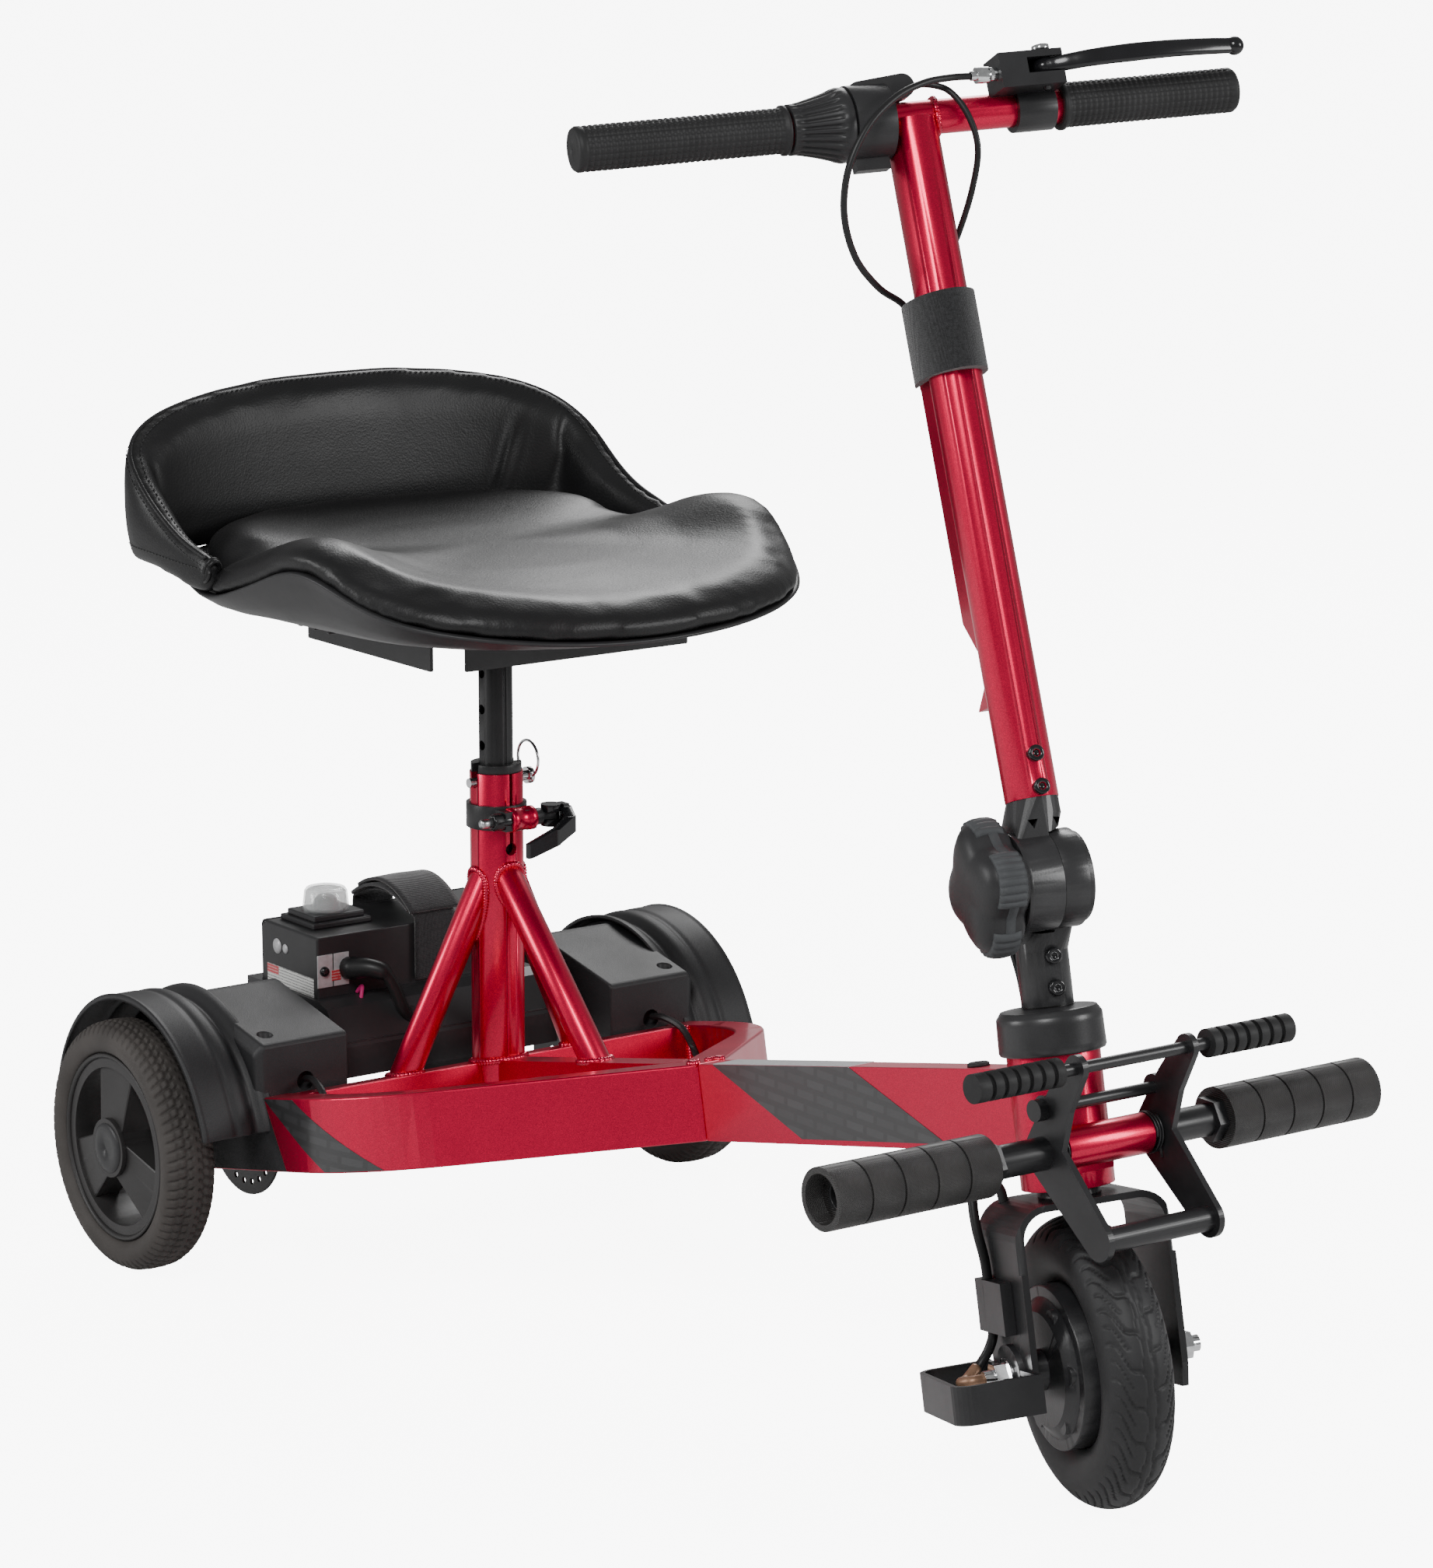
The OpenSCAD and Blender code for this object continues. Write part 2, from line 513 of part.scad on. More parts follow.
// ---------- steering ----------
crown_half = 60;
crown_top = 229;
plate_w = 75;
crown_back = -34;
leg_t = 5;
module fork() color(BLACK) steering() difference() {
    union() {
        intersection() {
            // Crown corners cut back so that it turns inside the parking brake's bar
            union() {
                cylinder(r = 70, h = 300);
                translate([-100, -100, 0]) cube([200, 200, 182]);
            }
            difference() {
            translate([crown_back, 0, 0]) rotate([90, 0, 90]) linear_extrude(plate_w) polygon(concat(
                [[-crown_half, 84]], arc([-crown_half + 24, crown_top - 24], 24, 180, 90, 8),
                arc([crown_half - 24, crown_top - 24], 24, 90, 0, 8), [[crown_half, 84], [crown_half - leg_t, 84]],
                arc([crown_half - 24, crown_top - 24], 24 - leg_t, 0, 90, 8),
                arc([-crown_half + 24, crown_top - 24], 24 - leg_t, 90, 180, 8), [[-crown_half + leg_t, 84]]));
            // Legs narrow towards the axle
            both_sides() for (s = [-1, 1]) translate([hub_fwd + s * 52, 62, 84]) rotate([0, s * 12, 0])
                translate([-20, -12, -40]) cube([40, 20, 120]);
            }
        }
        cylinder_stem();
        both_sides() translate([hub_fwd, crown_half - 0.5, hub_up]) rotate([-90, 0, 0]) cylinder(d = 44, h = 5);
    }
    translate([hub_fwd, 0, hub_up]) along_y(-90, 12, 180);
    translate([-22, -42, 210]) cylinder(d = 8.4, h = 40);
}
module cylinder_stem() translate([0, 0, crown_top - 1]) cylinder(d = 46, h = 6);
module steering_column() color(BLACK) steering() difference() {
    union() {
        translate([0, 0, crown_top + 5]) cylinder(d = 34, h = 416 - crown_top - 5);
    }
    translate([0, 0, crown_top]) cylinder(d = 24, h = 170);
}
module head_cap() color(SATIN) translate([foot_x, 0, 0]) rotate([0, -rake, 0]) difference() {
    translate([0, 0, 332.3]) rotate_extrude() polygon([[15, 0], [38, 0], [39, 2], [38.4, 26], [35, 31], [15, 33]]);
    translate([0, 0, 300]) cylinder(d = 34, h = 100);
    rotate([0, 0, 180 + rest_turn]) translate([30, 4, 320]) cylinder(d = 11, h = 60);
}
drum_d = 71;
module hinge_base() color(SATIN) steering() difference() {
    union() {
        translate([pivot_fwd, 0, pivot_up]) {
            along_y(0.3, drum_d, 19);
            along_y(19, drum_d - 6, 5);
        }
        hull() {
            translate([0, 0, 405]) cylinder(d = 38, h = 12, $fn = 32);
            translate([pivot_fwd - 6, 0.3, pivot_up - 14]) along_y(0.3, 40, 14);
        }
        translate([0, 0, 366]) cylinder(d = 38, h = 46);
    }
    translate([0, 0, 300]) cylinder(d = 34, h = 116);
    for (z = [379, 402]) translate([16, 0, z]) rotate([0, 90, 0]) cylinder(d = 11, h = 12);
    translate([pivot_fwd, 0, pivot_up]) {
        along_y(-40, 12 + 2 * run_clear, 60);
        along_y(-30, drum_d + 4, 30.3);
    }
}
module fork_fasteners() color(SILVER) steering() {
    for (z = [379, 402]) translate([17, 0, z]) rotate([0, 90, 0]) socket_bolt(11, 6);
    translate([hub_fwd, 0, hub_up]) both_sides() {
        translate([0, crown_half + 4.5, 0]) rotate([-90, 0, 0]) difference() {
            union() {
                cylinder(d = 26, h = 2.5);
                translate([0, 0, 2.5]) cylinder(d = 22, h = 10, $fn = 6);
            }
            translate([0, 0, -1]) cylinder(d = 12, h = 20);
        }
        // Fixed axle
        along_y(0, 12, 84);
    }
}
function guard_loop(t) = concat([[52 - t, -1]], arc([38, 50], 14 - t, 0, 90, 6), arc([-34, 44], 14 - t, 90, 180, 6), [[-48 + t, -1]]);
module offset_cut() polygon(guard_loop(4));
module axle_guards() color(BLACK) front_hub() {
    // Flat-bar loop round the right-hand axle nut, and the plate it is bent from
    difference() {
        translate([0, -crown_half - 0.2, -22]) mirror([0, 1, 0]) linear_extrude(28) union() {
            difference() { polygon(guard_loop(0)); offset_cut(); }
            translate([-48, 0]) square([100, 4]);
        }
        along_y(-70, 44.4, 20);
    }
    // Plate that holds the motor cable on the right-hand leg
    difference() {
        block([-34, -crown_half - 9, 30], [14, -crown_half - 0.2, 68]);
        translate([-20, -crown_half - 4.5, 10]) cylinder(d = 9, h = 70);
    }
}
motor_route = spline([[-22, -42, 227], [-24, -44, 238], [-30, -52, 244], [-30, -62, 236], [-24, -65, 214], [-16, -64.5, 190],
    [-14.3, -64.5, 172], [-14.3, -64.5, 140], [-16.5, -68, 126], [-18, -77, 114],
    [-13, -90, 106], [-4, -97, 106.5], [5.7, -93, 107.7], [5.7, -84.2, 107.7]]);
column_route = spline([[-30, -19, 442], [-31, -17, 430], [-32, -12, 416], [-32, -8, 402], [-31, -5, 382], [-30, -4, 358], [-30, -4, 338]]);
module column_cables() color(BLACK) steering() {
    cable(column_route, 8);
    translate([-30, -19.4, 438]) cylinder(d = 12.5, h = 24);
}
module motor_cable() color(BLACK) steering() cable(motor_route, 7.6);
module front_tyre() color(RUBBER) front_hub() difference() {
    rotate([90, 0, 0]) rotate_extrude($fn = 96) translate([front_r - front_w / 2, 0]) circle(d = front_w, $fn = 48);
    along_y(-40, 162, 80);
}
module hub_motor() color(BLACK) front_hub() {
    difference() {
        union() {
            difference() {
                along_y(-22, 162, 44);
                both_sides() along_y(14, 142, 20);
            }
            along_y(-50, 30, 100);
            both_sides() along_y(13, 120, 19);
        }
        along_y(-60, 12 + 2 * run_clear, 120);
    }
}
module motor_cover() color(BLACK) front_hub() both_sides() difference() {
    rotate([-90, 0, 0]) {
        translate([0, 0, 32]) cylinder(d1 = 104, d2 = 84, h = 7);
        for (a = [0:60:300]) rotate([0, 0, a]) translate([44, 0, 32]) cylinder(d = 14, h = 5);
    }
    along_y(20, 30, 40);
}

// ---------- fold hinge and tiller ----------
module hinge_knob() color(SATIN) steering() translate([pivot_fwd, 0, pivot_up]) {
    along_y(-62, 11.9, 80);
    translate([0, -64, 0]) rotate([-90, 0, 0]) {
        linear_extrude(34) union() {
            circle(r = 36);
            for (a = [10:90:280]) rotate([0, 0, a]) translate([28, 0]) circle(r = 20);
        }
        translate([0, 0, 34]) cylinder(d = 66, h = 1.8);
    }
}
module hinge_head() color(SATIN) tiller() difference() {
    union() {
        along_y(-24.5, drum_d, 24.5);
        along_y(-28, drum_d + 2, 3.5);
        hull() {
            translate([0, 0, 46]) cylinder(d = 38, h = 12, $fn = 32);
            translate([0, 0, 22]) along_y(-24, 40, 23.5);
        }
        cylinder_head();
    }
    along_y(-40, 12 + 2 * run_clear, 60);
    along_y(0, drum_d + 4, 24.5);
    both_sides() translate([0, 10, 40]) rotate([0, 90, 0]) cylinder(d = 9, h = 60, $fn = 3);
}
module cylinder_head() translate([0, 0, 50]) cylinder(d = tiller_d - 6.1, h = 60);
duct_low = 130;
duct_high = bar_h - 181;
module tiller_tube() color(RED) tiller() difference() {
    union() {
        translate([0, 0, 58]) cylinder(d = tiller_d, h = bar_h - 58 - 2);
        // Cable duct down the back
        difference() {
            block([-36, -14, duct_low], [-tiller_d / 2 + 2, 14, duct_high]);
            translate([-36, -20, duct_low]) rotate([0, -38, 0]) cube([40, 40, 60], center = false);
        }
        for (z = [64.5, 88.5]) translate([tiller_d / 2 - 1.5, 0, z]) rotate([0, 90, 0]) socket_bolt(11, 6.5);
    }
    translate([0, 0, 57]) cylinder(d = tiller_d - 6, h = bar_h - 80);
    translate([0, 0, bar_h]) along_y(-60, bar_d, 120);
}
module handlebar() color(RED) tiller() translate([0, 0, bar_h]) tube_y(-bar_len / 2 + 3, bar_d, 20, bar_len - 6);
grip_d = 33.6;
module grip(inner) difference() {
    union() {
        along_y(inner, grip_d, bar_len / 2 - inner);
        along_y(inner, grip_d + 3, 4);
    }
    along_y(inner - 1, bar_d, bar_len / 2 - inner - 2);
}
module grip_right() color(RUBBER) tiller() translate([0, 0, bar_h]) mirror([0, 1, 0]) grip(96);
module grip_left() color(RUBBER) tiller() translate([0, 0, bar_h]) grip(116);
module throttle_ring() color(BLACK) tiller() translate([0, 0, bar_h]) difference() {
    rotate([90, 0, 0]) translate([0, 0, 50]) cylinder(d1 = 54, d2 = 37, h = 45);
    along_y(-100, bar_d + 2 * run_clear, 60);
}
module throttle_housing() color(SATIN) tiller() translate([0, 0, bar_h]) difference() {
    union() {
        along_y(-49.6, 56, 30);
        hull() {
            translate([4, -37.6, 17]) rotate([0, 90, 0]) cylinder(d = 24, h = 12, center = true, $fn = 32);
            translate([8, -6, 22]) rotate([0, 90, 0]) cylinder(d = 18, h = 12, center = true, $fn = 32);
        }
        translate([-4, -49, -36]) cube([10, 26, 10]);
    }
    along_y(-60, bar_d, 80);
    translate([0, 0, -bar_h]) cylinder(d = tiller_d, h = bar_h);
}
module lever_bracket() color(BLACK) tiller() translate([0, 0, bar_h]) difference() {
    union() {
        along_y(80, 34, 30);
        translate([6, 62, 8]) cube([30, 50, 26]);
    }
    along_y(60, bar_d, 60);
    translate([14, 84, lever_z - 0.3]) cube([40, 40, 11.6]);
    translate([lever_x, lever_y, -10]) cylinder(d = 5.9, h = 60);
    translate([26, 50, 21]) along_y(0, 7, 20);
}
lever_x = 26;
lever_y = 100;
lever_z = 17.5;
module lever_part(a, b, da, db) hull() {
    translate([a[0], a[1], lever_z]) cylinder(d = da, h = 11, $fn = 24);
    translate([b[0], b[1], lever_z]) cylinder(d = db, h = 11, $fn = 24);
}
module brake_lever() color(BLACK) tiller() translate([0, 0, bar_h]) {
    translate([lever_x, lever_y, lever_z]) cylinder(d = 15, h = 11);
    lever_part([28, 102], [40, 124], 13, 10);
    lever_part([40, 124], [44, 180], 10, 9);
    lever_part([44, 180], [36, 248], 9, 8);
    translate([35, 252, lever_z - 1]) cylinder(d = 13, h = 13);
    translate([lever_x, lever_y, 6]) cylinder(d = 5.8, h = 31);
    translate([lever_x, lever_y, 34.2]) socket_bolt(11, 4);
}
module brake_adjuster() color(SILVER) tiller() translate([26, 0, bar_h + 21]) {
    along_y(42, 7, 28);
    along_y(46, 12, 10);
    along_y(57, 10, 5);
}
brake_route = spline([[26, 42, 21], [27, 26, 21], [31, 4, 18], [36, -22, 8], [38, -48, -12], [32, -66, -40], [18, -70, -70],
    [0, -60, -98], [-16, -40, -118], [-27, -20, -129], [-29, -11, -145], [-30, -8, -181]], 3);
module brake_cable() color(BLACK) tiller() translate([0, 0, bar_h]) cable(brake_route, 5.4);
throttle_route = spline([[8, 2.8, 22], [10, 14, 22], [16, 28, 14], [19, 38, -6], [16, 42, -30], [2, 38, -56], [-14, 28, -84],
    [-26, 14, -110], [-30, 8, -140], [-30, 8, -181]], 3);
module throttle_cable() color(BLACK) tiller() translate([0, 0, bar_h]) cable(throttle_route, 5);
module tiller_strap() color(BLACK) tiller() difference() {
    translate([-8, 0, 370]) resize([76, 50, 58]) cylinder(d = 50, h = 58, $fn = 64);
    translate([0, 0, 300]) cylinder(d = tiller_d + 0.2, h = 200);
    block([-41, -18, 300], [-10, 18, 500]);
}

placed() spine_beam();
placed() side_rails();
placed() cross_beam();
placed() seat_tube();
placed() seat_braces();
placed() head_tube();
placed() footrest_tubes();
placed() footrest_grips();
placed() frame_fasteners();
placed() axle_bushes();
placed() cover_right();
placed() cover_left();
placed() battery_tray();
placed() battery_lead();
placed() brake_calipers();
placed() rear_harness();
placed() seat_collar();
placed() clamp_lever();
placed() seat_pin();
placed() rear_tyre_right();
placed() rear_wheel_right();
placed() brake_disc_right();
placed() rear_tyre_left();
placed() rear_wheel_left();
placed() brake_disc_left();
placed() battery_box();
placed() battery_strap();
placed() key_switch();
placed() seat_post();
placed() seat_bracket();
placed() seat_pan();
placed() seat_cushion();
placed() backrest_pad();
placed() brake_pedal_frame();
placed() pedal_rubbers();
placed() fork();
placed() steering_column();
placed() head_cap();
placed() hinge_base();
placed() fork_fasteners();
placed() axle_guards();
placed() motor_cable();
placed() column_cables();
placed() front_tyre();
placed() hub_motor();
placed() motor_cover();
placed() hinge_knob();
placed() tiller_tube();
placed() hinge_head();
placed() handlebar();
placed() grip_right();
placed() grip_left();
placed() throttle_housing();
placed() throttle_ring();
placed() lever_bracket();
placed() brake_lever();
placed() brake_adjuster();
placed() brake_cable();
placed() throttle_cable();
placed() tiller_strap();
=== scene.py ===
"""Looks of a folding three-wheeled mobility scooter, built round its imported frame.

Every length in the settings is in metres. Shapes are worked out in millimetres from the rear
axle, where X is forward, Y the rider's left and Z up, and put_down() moves them into the frame.
"""

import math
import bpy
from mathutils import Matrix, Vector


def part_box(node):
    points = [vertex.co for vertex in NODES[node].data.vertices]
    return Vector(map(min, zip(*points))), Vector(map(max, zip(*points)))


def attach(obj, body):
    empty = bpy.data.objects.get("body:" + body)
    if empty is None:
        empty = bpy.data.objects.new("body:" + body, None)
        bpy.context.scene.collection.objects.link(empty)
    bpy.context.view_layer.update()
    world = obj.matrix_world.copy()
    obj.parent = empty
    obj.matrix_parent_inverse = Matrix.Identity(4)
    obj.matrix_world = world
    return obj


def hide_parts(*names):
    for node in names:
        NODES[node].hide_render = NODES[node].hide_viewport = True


bl_info = {
    "name": "Folding Mobility Scooter",
    "version": (1, 0, 0),
    "blender": (4, 5, 0),
    "location": "View3D > Sidebar > Scooter",
    "description": "Finishes and soft parts for a folding three-wheeled mobility scooter",
    "category": "Object",
}

import bmesh
import bpy
import numpy as np
from bpy.props import FloatProperty, FloatVectorProperty, PointerProperty
from bpy.types import Operator, Panel, PropertyGroup
from mathutils import Vector

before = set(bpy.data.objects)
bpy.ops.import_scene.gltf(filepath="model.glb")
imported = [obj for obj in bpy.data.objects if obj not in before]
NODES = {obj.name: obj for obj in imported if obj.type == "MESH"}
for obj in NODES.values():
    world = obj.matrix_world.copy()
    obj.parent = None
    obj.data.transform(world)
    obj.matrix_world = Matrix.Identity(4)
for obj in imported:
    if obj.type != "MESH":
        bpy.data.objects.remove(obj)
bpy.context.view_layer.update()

# Driving sizes, in millimetres and degrees
REAR_TYRE_R = 104.0
REAR_TRACK = 272.0
FRONT_TYRE_R = 106.7
FRONT_TYRE_W = 52.0
WHEELBASE = 908.0
TRAIL = 15.7
RAKE = math.radians(11.4)
REST_TURN = math.radians(-15.9)
TILLER_LEAN = math.radians(9.8)
DECK_TILT = math.radians(11.75)
FOOT_X = WHEELBASE + TRAIL
HUB_FORWARD = FRONT_TYRE_R * math.sin(RAKE) - TRAIL * math.cos(RAKE)
HUB_UP = FRONT_TYRE_R * math.cos(RAKE) + TRAIL * math.sin(RAKE)
PIVOT = (23.5, 0.0, 456.5)
BAR_UP = 561.0
PEG_X, PEG_Z = 912.6, 270.9
SEAT_MID = 124.0
SEAT_TUBE_X, SEAT_TUBE_R, BRACE_R = 135.0, 22.0, 12.5
# The deck's beams, in its tilted axes: half height, spine's half width and the rails' outer bend
BEAM_HALF, SPINE_HALF = 30.5, 12.5
RAIL_BEND_U, RAIL_BEND_Y, RAIL_BEND_R = 163.3, 10.0, 202.5
GRIP_END = 257
CLAMP = (166, 0, 372)
LEVER_PIVOT = (26, 100, 0)
BATTERY_TOP, BATTERY_FRONT, BATTERY_RIGHT = 257.0, 18.0, -103.0
# The frame's rear tyres tell where X = 0 of the drawing, the rear axle, lies in the frame
REAR_AXLE_X = sum(corner[0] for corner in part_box("rear_tyre_left")) / 2


# ---------- places ----------
def turn_y(points, angle):
    """Points turned about Y by the angle: x' = x cos + z sin, z' = z cos - x sin."""
    p = np.asarray(points, float)
    c, s = math.cos(angle), math.sin(angle)
    return np.stack([p[..., 0] * c + p[..., 2] * s, p[..., 1], p[..., 2] * c - p[..., 0] * s], -1)


def turn_z(points, angle):
    """Points turned about Z by the angle: x' = x cos - y sin, y' = x sin + y cos."""
    p = np.asarray(points, float)
    c, s = math.cos(angle), math.sin(angle)
    return np.stack([p[..., 0] * c - p[..., 1] * s, p[..., 0] * s + p[..., 1] * c, p[..., 2]], -1)


def column(points):
    """From the steering column's own axes: turned to the side, leaned back and set on its foot."""
    return turn_y(turn_z(points, REST_TURN), -RAKE) + [FOOT_X, 0, 0]


def straight_column(points):
    """As column(), for what stays pointing forward on the head tube."""
    return turn_y(points, -RAKE) + [FOOT_X, 0, 0]


def tiller(points):
    """From the tiller's own axes: leaned back at the fold pivot, then carried by the column."""
    return column(turn_y(points, -TILLER_LEAN) + PIVOT)


def handlebar(points):
    """From the handlebar's axes, whose origin is the bar's middle."""
    return tiller(np.asarray(points, float) + [0, 0, BAR_UP])


def front_hub(points):
    """From the front axle's middle."""
    return column(np.asarray(points, float) + [HUB_FORWARD, 0, HUB_UP])


def peg_axis(points):
    """From the footrest tube's middle."""
    return np.asarray(points, float) + [PEG_X, 0, PEG_Z]


def deck(points):
    """From the deck's tilted axes, whose X runs up along the beams."""
    return turn_y(points, -DECK_TILT) + [0, 0, REAR_TYRE_R]


def plain(points):
    """From the drawing's own axes."""
    return np.asarray(points, float)


def shifted(x, y, z, place=plain):
    """A place moved by x, y, z in its own axes."""
    return lambda points: place(np.asarray(points, float) + [x, y, z])


def put_down(points):
    """Millimetres from the rear axle to metres in the frame."""
    return np.asarray(points, float) / 1000 + [REAR_AXLE_X, 0, 0]


# ---------- meshes ----------
def new_piece(name, verts, faces, material, smooth=True, uv=None, place=plain):
    """A mesh object from vertex and face arrays, with its place in its mesh."""
    mesh = bpy.data.meshes.new(name)
    mesh.from_pydata(put_down(place(verts)).tolist(), [],
                     faces if isinstance(faces, list) else faces.tolist())
    if uv is not None:
        layer = mesh.uv_layers.new(name="UVMap")
        corners = np.empty(len(mesh.loops), int)
        mesh.loops.foreach_get("vertex_index", corners)
        layer.data.foreach_set("uv", np.asarray(uv, float)[corners].ravel())
    mesh.polygons.foreach_set("use_smooth", [smooth] * len(mesh.polygons))
    mesh.materials.append(material)
    piece = bpy.data.objects.new(name, mesh)
    bpy.context.scene.collection.objects.link(piece)
    return piece


def grid_faces(rows, cols, wrap_rows=False, wrap_cols=False, start=0):
    """Quads of a rows x cols grid of vertices, joined round where asked."""
    i = np.arange(rows if wrap_rows else rows - 1)[:, None]
    j = np.arange(cols if wrap_cols else cols - 1)[None, :]
    i2, j2 = (i + 1) % rows, (j + 1) % cols
    quads = np.stack([i * cols + j, i * cols + j2, i2 * cols + j2, i2 * cols + j], -1)
    return quads.reshape(-1, 4) + start


def frames_along(path, closed=False):
    """Unit tangent, side and up of each point of a path, with the least twist from point to point."""
    p = np.asarray(path, float)
    t = np.roll(p, -1, 0) - np.roll(p, 1, 0) if closed else np.gradient(p, axis=0)
    t /= np.linalg.norm(t, axis=1)[:, None] + 1e-12
    seed = np.array([0, 0, 1.0]) if abs(t[0, 2]) < 0.9 else np.array([0, 1.0, 0])
    side = np.cross(t[0], seed)
    sides = [side / np.linalg.norm(side)]
    for tangent in t[1:]:
        side = sides[-1] - tangent * np.dot(sides[-1], tangent)
        sides.append(side / (np.linalg.norm(side) + 1e-12))
    side = np.array(sides)
    return t, side, np.cross(side, t)


def sweep(path, profile, closed=False, scale=None):
    """A profile of (side, up) points carried along a path, as one ring of vertices to a path point."""
    _, side, up = frames_along(path, closed)
    prof = np.asarray(profile, float)
    size = np.ones(len(path)) if scale is None else np.asarray(scale, float)
    rings = (np.asarray(path, float)[:, None]
             + side[:, None] * prof[None, :, :1] * size[:, None, None]
             + up[:, None] * prof[None, :, 1:] * size[:, None, None])
    return rings


def lofted(name, rings, material, place=plain, closed=False, smooth=True):
    """A closed skin over an array of rings, (rings, points, 3), with flat ends where it isn't closed."""
    rings = np.asarray(rings, float)
    rows, cols = rings.shape[:2]
    faces = grid_faces(rows, cols, wrap_rows=closed, wrap_cols=True).tolist()
    if not closed:
        faces += [list(range(cols))[::-1], list(range((rows - 1) * cols, rows * cols))]
    v = np.repeat(np.linspace(0, 1, rows), cols)
    u = np.tile(np.linspace(0, 1, cols), rows)
    piece = new_piece(name, rings.reshape(-1, 3), faces, material, smooth, np.stack([u, v], -1), place)
    face_out(piece)
    return piece


def face_out(piece):
    """Turns every face of a closed mesh outwards."""
    work = bmesh.new()
    work.from_mesh(piece.data)
    bmesh.ops.recalc_face_normals(work, faces=work.faces)
    work.to_mesh(piece.data)
    work.free()


def circle(radius, count=24, start=0.0):
    """Points on a circle: (r cos a, r sin a)."""
    a = np.linspace(0, 2 * np.pi, count, endpoint=False) + start
    return np.stack([radius * np.cos(a), radius * np.sin(a)], -1)


def smooth_path(points, per_span=8):
    """A Catmull-Rom curve through the points."""
    p = np.asarray(points, float)
    q = np.vstack([2 * p[0] - p[1], p, 2 * p[-1] - p[-2]])
    t = np.linspace(0, 1, per_span, endpoint=False)[None, :, None]
    a, b, c, d = (q[i:len(q) - 3 + i][:, None] for i in range(4))
    body = 0.5 * (2 * b + (c - a) * t + (2 * a - 5 * b + 4 * c - d) * t ** 2 + (3 * b - a - 3 * c + d)
                  * t ** 3)
    return np.vstack([body.reshape(-1, 3), p[-1:]])


def tube(name, points, diameter, material, place=plain, sides=16, per_span=8, smooth_it=True):
    """A round cable or wire of one diameter along a smooth path."""
    path = smooth_path(points, per_span) if smooth_it else np.asarray(points, float)
    return lofted(name, sweep(path, circle(diameter / 2, sides)), material, place)


def turned(name, profile, material, axis="y", place=plain, count=64, closed_profile=True, ripple=None):
    """A profile of (along, radius) points spun about an axis. ripple(along, angle) adds to the radius."""
    prof = np.asarray(profile, float)
    a = np.linspace(0, 2 * np.pi, count, endpoint=False)
    along = np.broadcast_to(prof[:, 0][:, None], (len(prof), count))
    radius = np.broadcast_to(prof[:, 1][:, None], (len(prof), count)).copy()
    if ripple is not None:
        radius += ripple(along, np.broadcast_to(a, along.shape))
    c, s = radius * np.cos(a), radius * np.sin(a)
    rings = {"y": np.stack([c, along, s], -1), "z": np.stack([c, s, along], -1),
             "x": np.stack([along, c, s], -1)}[axis]
    poles = max(prof[0, 1], prof[-1, 1]) < 0.5
    return lofted(name, rings, material, place, closed=closed_profile and not poles)


def block(name, low, high, material, place=plain, bevel=1.0, segments=2):
    """A box between two corners with softened edges."""
    (x0, y0, z0), (x1, y1, z1) = low, high
    verts = [(x, y, z) for z in (z0, z1) for y in (y0, y1) for x in (x0, x1)]
    faces = [[0, 2, 3, 1], [4, 5, 7, 6], [0, 1, 5, 4], [2, 6, 7, 3], [0, 4, 6, 2], [1, 3, 7, 5]]
    piece = new_piece(name, verts, faces, material, smooth=False, place=place)
    soften(piece, bevel, segments)
    return piece


def soften(piece, width, segments=2, angle=32):
    """A bevel on the sharp edges, width in millimetres."""
    edge = piece.modifiers.new("Softened edges", "BEVEL")
    edge.width = width / 1000
    edge.segments = segments
    edge.limit_method = "ANGLE"
    edge.angle_limit = math.radians(angle)
    edge.harden_normals = True
    edge.miter_outer = "MITER_ARC"


def joined(name, pieces):
    """Several new meshes made one object, modifiers applied first."""
    graph = bpy.context.evaluated_depsgraph_get()
    for piece in pieces:
        if piece.modifiers:
            mesh = bpy.data.meshes.new_from_object(piece.evaluated_get(graph))
            piece.modifiers.clear()
            piece.data = mesh
    with bpy.context.temp_override(active_object=pieces[0], selected_editable_objects=pieces):
        bpy.ops.object.join()
    pieces[0].name = pieces[0].data.name = name
    return pieces[0]


def finish_piece(piece, body, stands_for=()):
    """Rides the piece on its body and hides the nodes it stands for."""
    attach(piece, body)
    if stands_for:
        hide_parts(*stands_for)
    return piece


def apply_modifiers(piece):
    """Keeps the shape that the modifiers give and drops them."""
    bpy.context.view_layer.update()
    graph = bpy.context.evaluated_depsgraph_get()
    mesh = bpy.data.meshes.new_from_object(piece.evaluated_get(graph))
    piece.modifiers.clear()
    piece.data = mesh


